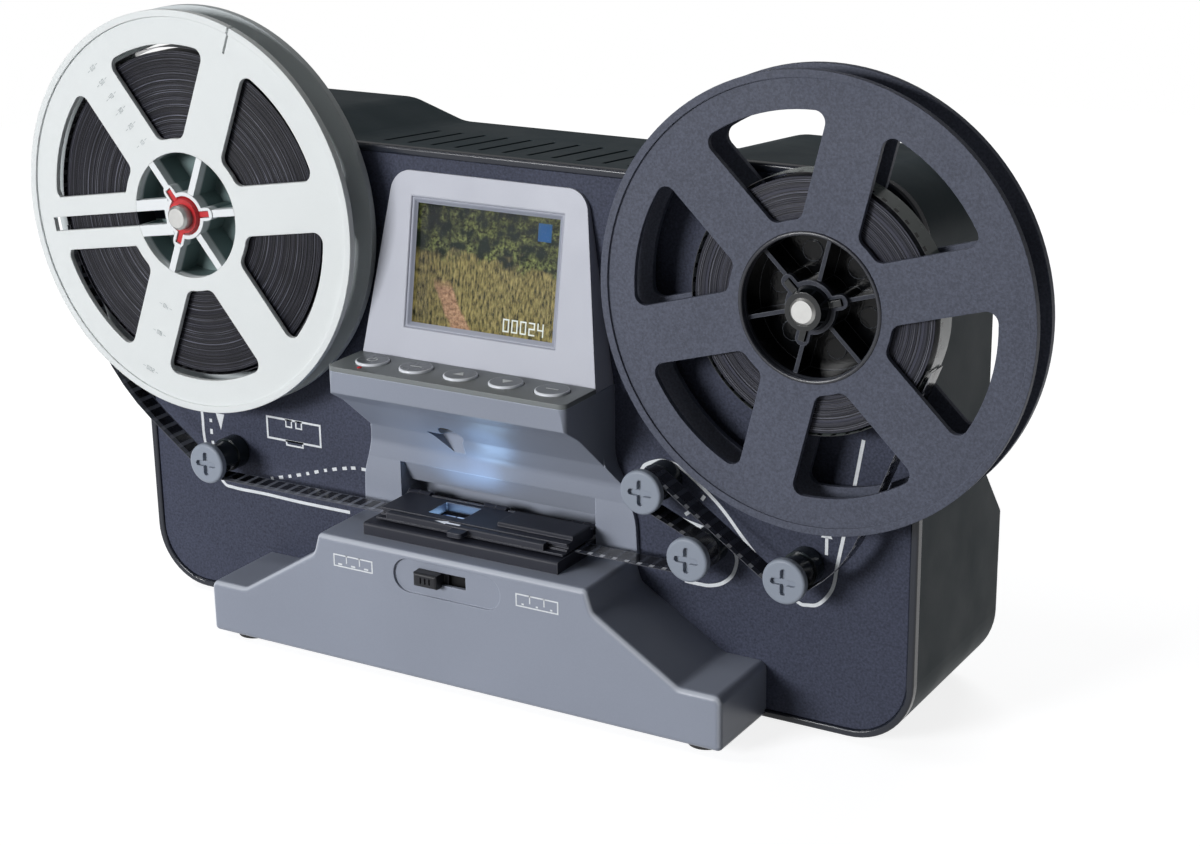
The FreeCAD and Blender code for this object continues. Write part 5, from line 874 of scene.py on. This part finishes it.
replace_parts(strip("supply_loose_turn", turn_route(SUPPLY, SUPPLY_TURN, route[0], -1), film_turn, "supply_reel"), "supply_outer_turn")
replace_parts(strip("take_up_loose_turn", turn_route(TAKE_UP, TAKE_UP_TURN, route[-1], 1), leader, "take_up_reel"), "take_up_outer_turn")


def wound_material(name, centre, ground, glint_tone):
    """The edges of wound film: fine rings of uneven tone, some pale as painted glints, some open and black as painted
    shade in the gaps between turns.
    """
    m = Material(name)
    x, z = off_spindle(m, centre)
    # A slow wander round the pack keeps the rings from being perfect circles.
    wander = m.math("MULTIPLY", m.math("SUBTRACT", m.noise(24.0, 2.0), 0.5), 0.0009)
    lift = m.math("ADD", m.length(x, z), wander)

    def rings(scale, detail, rough):
        """Noise that changes only outwards from the spindle."""
        return m.add("ShaderNodeTexNoise", {"noise_dimensions": "1D"}, W=lift, Scale=scale, Detail=detail,
                     Roughness=rough).outputs["Fac"]

    fine, broad = rings(2300.0, 3.0, 0.8), rings(420.0, 2.0, 0.6)
    streak = m.noise(90.0, 2.0, 0.5)
    tone = m.mix(m.span(broad, 0.35, 0.65), dim(ground, 0.6), dim(ground, 1.5))
    # Painted glints: pale rings on some turns' edges, patchy round the pack.
    pale = m.math("MULTIPLY", m.span(fine, 0.56, 0.68), m.span(streak, 0.3, 0.7, 0.25, 0.9))
    tone = m.mix(pale, tone, glint_tone)
    # Painted shade: black rings in the open gaps between turns.
    tone = m.mix(m.span(fine, 0.48, 0.42), tone, dim(ground, 0.12))
    gloss = m.math("SINE", m.math("MULTIPLY", m.math("ARCTAN2", z, x), 2.0))
    m.set(Base_Color=tone, Roughness=m.math("ADD", m.math("MULTIPLY", gloss, 0.05), 0.42),
          Normal=m.bump(fine, 0.5, 0.0002), Specular_IOR_Level=0.2)
    return m


MOST_RISE = 0.34
PACK_INNER = 22.15
PACK_AROUND = 120


def pack(name, centre, inner, outer, material, body_name, seed):
    """Wound film: a ring whose faces step in and out from turn to turn, as loosely wound film does."""
    chance = random.Random(seed)
    back = FILM_FRONT + FILM_WIDTH
    radii, rise = [], []
    radius, height = inner, 0.0
    # Each turn is 0.22 to 0.42 mm thick and stands up to 0.12 mm out from the one before, or in.
    while radius < outer:
        radii.append(radius)
        height = max(0.0, min(MOST_RISE, height + chance.uniform(-0.12, 0.12)))
        rise.append(height)
        radius += chance.uniform(0.22, 0.42)
    radii.append(outer)
    profile = []
    for i, (start, end, height) in enumerate(zip(radii, radii[1:], rise)):
        # A turn's front edge, with a deeper gap after every third.
        edge = FILM_FRONT + height
        profile += [(start + 0.02, edge + 0.02), (end - 0.05, edge + 0.02)]
        if i % 3 == 0:
            profile.append((end - 0.01, edge + 0.20))
    profile += [(outer, FILM_FRONT + 0.1), (outer, back - 0.1)]
    sparse = radii[::max(4, len(radii) // 8)]
    profile += [(min(radius, outer - 0.2), back - 0.05) for radius in reversed(sparse)]
    profile += [(inner, back - 0.05), (inner, FILM_FRONT + 0.1)]
    return turned(name, centre, profile, PACK_AROUND, material, body_name, "film_black")


supply_wound = wound_material("wound_film_supply", SUPPLY, linear(24, 24, 32), linear(136, 138, 154))
take_up_wound = wound_material("wound_film_take_up", TAKE_UP, linear(50, 51, 62), linear(136, 138, 150))
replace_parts(pack("supply_pack", SUPPLY, PACK_INNER, 51.9, supply_wound, "supply_reel", 3), "supply_film_pack")
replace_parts(pack("take_up_pack", TAKE_UP, PACK_INNER, 35.9, take_up_wound, "take_up_reel", 5),
            "take_up_film_pack")


# Belt

BELT_HALF = 0.78
BELT_DEPTH = 18.5
DRIVEN_WHEEL = ((112.8, 134.9), 13.3, 1)
MOTOR_WHEEL = ((75.0, 113.0), 3.3, 1)


def belt_route():
    """Round the motor's wheel and back, closed round the driven one."""
    out = film_route([DRIVEN_WHEEL, MOTOR_WHEEL, DRIVEN_WHEEL])
    return out + arc(*DRIVEN_WHEEL, out[-1], out[0])


def cord_band(name, route, half, depth, material, body_name):
    """A band of square section with softened corners, closed round a route."""
    ring = [(-1, -0.6), (-0.6, -1), (0.6, -1), (1, -0.6), (1, 0.6), (0.6, 1), (-0.6, 1), (-1, 0.6)]
    vertices = []
    count = len(route)
    for i, point in enumerate(route):
        along = (route[(i + 1) % count] - route[i - 1]).normalized()
        normal = Vector((-along.z, 0, along.x))
        for out, across in ring:
            spot = point + normal * out * half
            vertices.append((spot.x, depth + across * half, spot.z))
    faces = section_faces(count, len(ring), closed=True)
    return piece(name, vertices, faces, material, body_name, smooth=True)


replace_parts(cord_band("belt_loop", belt_route(), BELT_HALF, BELT_DEPTH, rubber, "scanner"),
            "drive_belt")


# Picture on the screen

SCREEN_TILT = math.radians(9.8)
BEZEL_FOOT = (-10.7, 98.7)
PICTURE_DEPTH = 2.62
PRINT_DEPTH = 2.58


def on_screen(across, up, depth=PRINT_DEPTH):
    """A point on the screen's slope: across from its middle, up from the bezel's foot, behind its face."""
    y = BEZEL_FOOT[0] + up * math.sin(SCREEN_TILT) + depth * math.cos(SCREEN_TILT)
    z = BEZEL_FOOT[1] + up * math.cos(SCREEN_TILT) - depth * math.sin(SCREEN_TILT)
    return (across, y, z)


def screen_material():
    """Leaves and long grass round a brown path, lit from behind."""
    m = Material("screen_picture")
    uv = m.add("ShaderNodeUVMap", {"uv_map": "film"}).outputs["UV"]
    across, up, _ = m.split(uv)

    def cloud(scale, detail, rough, lean=(1.0, 1.0, 1.0)):
        return m.noise(scale, detail, rough, m.vector("MULTIPLY", uv, lean))

    leaves = cloud(0.9, 6.0, 0.7)
    blades = cloud(0.8, 5.0, 0.65, (1.6, 0.45, 1.0))
    clump = cloud(0.13, 3.0, 0.5)
    shade = cloud(0.22, 2.0, 0.5)
    trees = m.mix(m.span(leaves, 0.42, 0.66), linear(6, 12, 5), linear(142, 152, 82))
    trees = m.mix(m.span(shade, 0.42, 0.58), linear(20, 30, 18), trees)
    grass = m.mix(m.span(blades, 0.36, 0.64), linear(14, 24, 8), linear(164, 150, 92))
    bank = m.math("ADD", up, m.math("MULTIPLY", m.math("SUBTRACT", clump, 0.5), 22.0))
    tone = m.mix(m.span(bank, 32.0, 35.0), grass, trees)
    bend = m.math("ADD", across, m.math("MULTIPLY", m.math("SUBTRACT", up, 14.0), 0.55))
    path = m.math("ADD", m.math("ABSOLUTE", m.math("ADD", bend, 9.0)), m.math("MULTIPLY", clump, 5.0))
    earth = m.mix(m.span(leaves, 0.35, 0.7), linear(104, 74, 52), linear(214, 170, 132))
    tone = m.mix(m.math("MULTIPLY", m.span(path, 6.2, 5.2), m.span(up, 27.0, 24.0)), tone, earth)
    dark = m.math("MULTIPLY", m.span(across, -27.0, -10.0, 0.5, 1.0), m.span(up, 38.0, 51.0, 1.0, 0.6))
    lit = m.add("ShaderNodeVectorMath", {"operation": "SCALE"}, Vector=tone, Scale=dark)
    m.set(Base_Color=m.mix(leaves, (0.006, 0.006, 0.008), (0.01, 0.01, 0.012)), Roughness=0.35,
          Specular_IOR_Level=0.05, Emission_Color=lit.outputs[0], Emission_Strength=1.0)
    return m


RIM = 1.7


def opening(inset):
    """The bezel opening's corners, drawn in from its size of 54 x 40 mm."""
    return bar(-27.0 + inset, 11.0 + inset, 27.0 - inset, 51.0 - inset)


def screen_rim():
    """The sloped inner edge round the screen, rounded at both of its turns."""
    steps = [(0.0, 0.62), (0.06, 0.46), (0.2, 0.42), (0.45, 0.55), (0.85, 1.12), (0.96, 1.22), (1.0, 1.285)]
    vertices, faces = [], []
    for share, depth in steps:
        for (x0, z0), (x1, z1) in zip(opening(-0.05), opening(RIM)):
            vertices.append(on_screen(x0 + (x1 - x0) * share, z0 + (z1 - z0) * share, depth))
    for k in range(len(steps) - 1):
        for i in range(4):
            j = (i + 1) % 4
            faces.append((4 * k + i, 4 * k + j, 4 * k + 4 + j, 4 * k + 4 + i))
    rim_grey = plastic("screen_rim", linear(150, 154, 168), 0.35, grain=0.03, spread=0.03)
    return piece("screen_rim", vertices, faces, rim_grey, "scanner")


screen_rim()

columns, rows = 12, 9
spots = [(-27.6 + 55.2 * i / columns, 10.4 + 41.2 * j / rows) for j in range(rows + 1) for i in range(columns + 1)]
piece("screen_picture", [on_screen(x, z, PICTURE_DEPTH) for x, z in spots], grid_faces(columns, rows),
      screen_material(), "scanner", uv=spots)

glow = Material("screen_digits")
glow.set(Base_Color=(0.02, 0.02, 0.02), Roughness=0.3, Emission_Strength=1.0,
         Emission_Color=glow.mix(glow.noise(400.0), linear(208, 216, 206), linear(228, 232, 224)))
printed("screen_counter", number("00024", 7.0, 13.6, 2.2, 4.0, 0.42), on_screen, glow, "scanner")

badge = Material("screen_badge")
badge.set(Base_Color=(0.01, 0.01, 0.012), Roughness=0.3, Specular_IOR_Level=0.05, Emission_Strength=1.0,
          Emission_Color=badge.mix(badge.noise(300.0), linear(16, 72, 120), linear(24, 88, 140)))
printed("screen_badge", [bar(17.2, 42.0, 21.9, 47.4)], on_screen, badge, "scanner")


# Floor, world and lamps

def ray_share(m):
    """1 for rays that the camera, gloss and glass see, else 0."""
    path = m.add("ShaderNodeLightPath")
    seen = m.math("MAXIMUM", path.outputs["Is Camera Ray"], path.outputs["Is Glossy Ray"])
    return m.math("MAXIMUM", seen, path.outputs["Is Transmission Ray"])


def floor_material():
    """Pale paper that keeps the shadow, whitened where it is looked at and plain white far off."""
    m = Material("floor_white")
    tooth = m.noise(900.0, 3.0, 0.6)
    seen = ray_share(m)
    m.set(Base_Color=m.mix(tooth, linear(176, 177, 179), linear(182, 183, 185)), Roughness=0.9,
          Emission_Color=(1.0, 1.0, 1.0), Emission_Strength=m.math("MULTIPLY", seen, 0.84), Specular_IOR_Level=0.05)
    plain = m.add("ShaderNodeEmission", Strength=m.math("ADD", m.math("MULTIPLY", seen, 0.9), 0.1))
    far = m.span(m.vector("LENGTH", m.place), 0.4, 1.0)
    blend = m.add("ShaderNodeMixShader")
    for index, value in enumerate((far, m.shader.outputs[0], plain.outputs[0])):
        m.feed(blend.inputs[index], value)
    m.feed(m.tree.nodes["Material Output"].inputs["Surface"], blend.outputs[0])
    return m


FLOOR_HALF = 3
floor_mesh = bpy.data.meshes.new("floor")
floor_corners = bar(-FLOOR_HALF, -FLOOR_HALF, FLOOR_HALF, FLOOR_HALF)
floor_mesh.from_pydata([(x, y, 0.0) for x, y in floor_corners], [], [(0, 1, 2, 3)])
floor_mesh.materials.append(floor_material().data)
floor = add_object("floor", floor_mesh)

world = bpy.data.worlds.new("studio")
world.use_nodes = True
bpy.context.scene.world = world
tree = world.node_tree
background = tree.nodes["Background"]
path = tree.nodes.new("ShaderNodeLightPath")
WORLD_LEVEL = 0.08
WORLD_GLOSS = 0.22


def world_math(operation, a, b):
    node = tree.nodes.new("ShaderNodeMath")
    node.operation = operation
    for socket, value in zip(node.inputs, (a, b)):
        if isinstance(value, float):
            socket.default_value = value
        else:
            tree.links.new(value, socket)
    return node.outputs[0]


seen = world_math("MAXIMUM", path.outputs["Is Camera Ray"], path.outputs["Is Transmission Ray"])
glossy = world_math("MULTIPLY", path.outputs["Is Glossy Ray"], WORLD_GLOSS)
strength = world_math("MAXIMUM", world_math("MAXIMUM", seen, glossy), WORLD_LEVEL)
background.inputs["Color"].default_value = (1.0, 1.0, 1.0, 1.0)
tree.links.new(strength, background.inputs["Strength"])


def lamp(name, kind, place, target, power, colour):
    place, target = Vector(place), Vector(target)
    data = bpy.data.lights.new(name, kind)
    data.energy = power
    data.color = colour
    obj = add_object(name, data)
    obj.matrix_world = Matrix.Translation(place) @ (target - place).to_track_quat("-Z", "Y").to_matrix().to_4x4()
    return obj


def area_lamp(name, place, target, size, power, colour=(1.0, 1.0, 1.0)):
    obj = lamp(name, "AREA", place, target, power, colour)
    obj.data.shape = "RECTANGLE"
    obj.data.size, obj.data.size_y = size
    return obj


def spot_lamp(name, place, target, angle, power, colour):
    obj = lamp(name, "SPOT", place, target, power, colour)
    obj.data.spot_size = math.radians(angle)
    obj.data.spot_blend = 1.0
    obj.data.shadow_soft_size = 0.002
    return obj


MIDDLE = (0.0, 0.0, 0.1)
GATE_BLUE = (0.36, 0.62, 1.0)
area_lamp("key", (-0.62, -1.42, 0.43), MIDDLE, (0.6, 0.36), 21.0, (0.985, 0.99, 1.0))
area_lamp("edge", (-0.8, -0.4, 1.3), MIDDLE, (0.12, 0.6), 2.2)
rear = area_lamp("rear", (-0.3, 1.35, 0.75), MIDDLE, (0.9, 0.5), 11.0)
rear.visible_glossy = False
area_lamp("gate_glow", at(LAMP_ACROSS, LAMP_BACK, 49.3), at(LAMP_ACROSS, LAMP_BACK, 60), (0.012, 0.009), 0.004,
          (0.4, 0.66, 1.0))
for name, across, height, cone, power in (("gate_glow_low", -4, 65, 6, 0.4), ("gate_glow_high", 4, 77, 8, 0.5)):
    spot_lamp(name, at(across, -150, height - 4), at(across, -14, height), cone, power, GATE_BLUE)
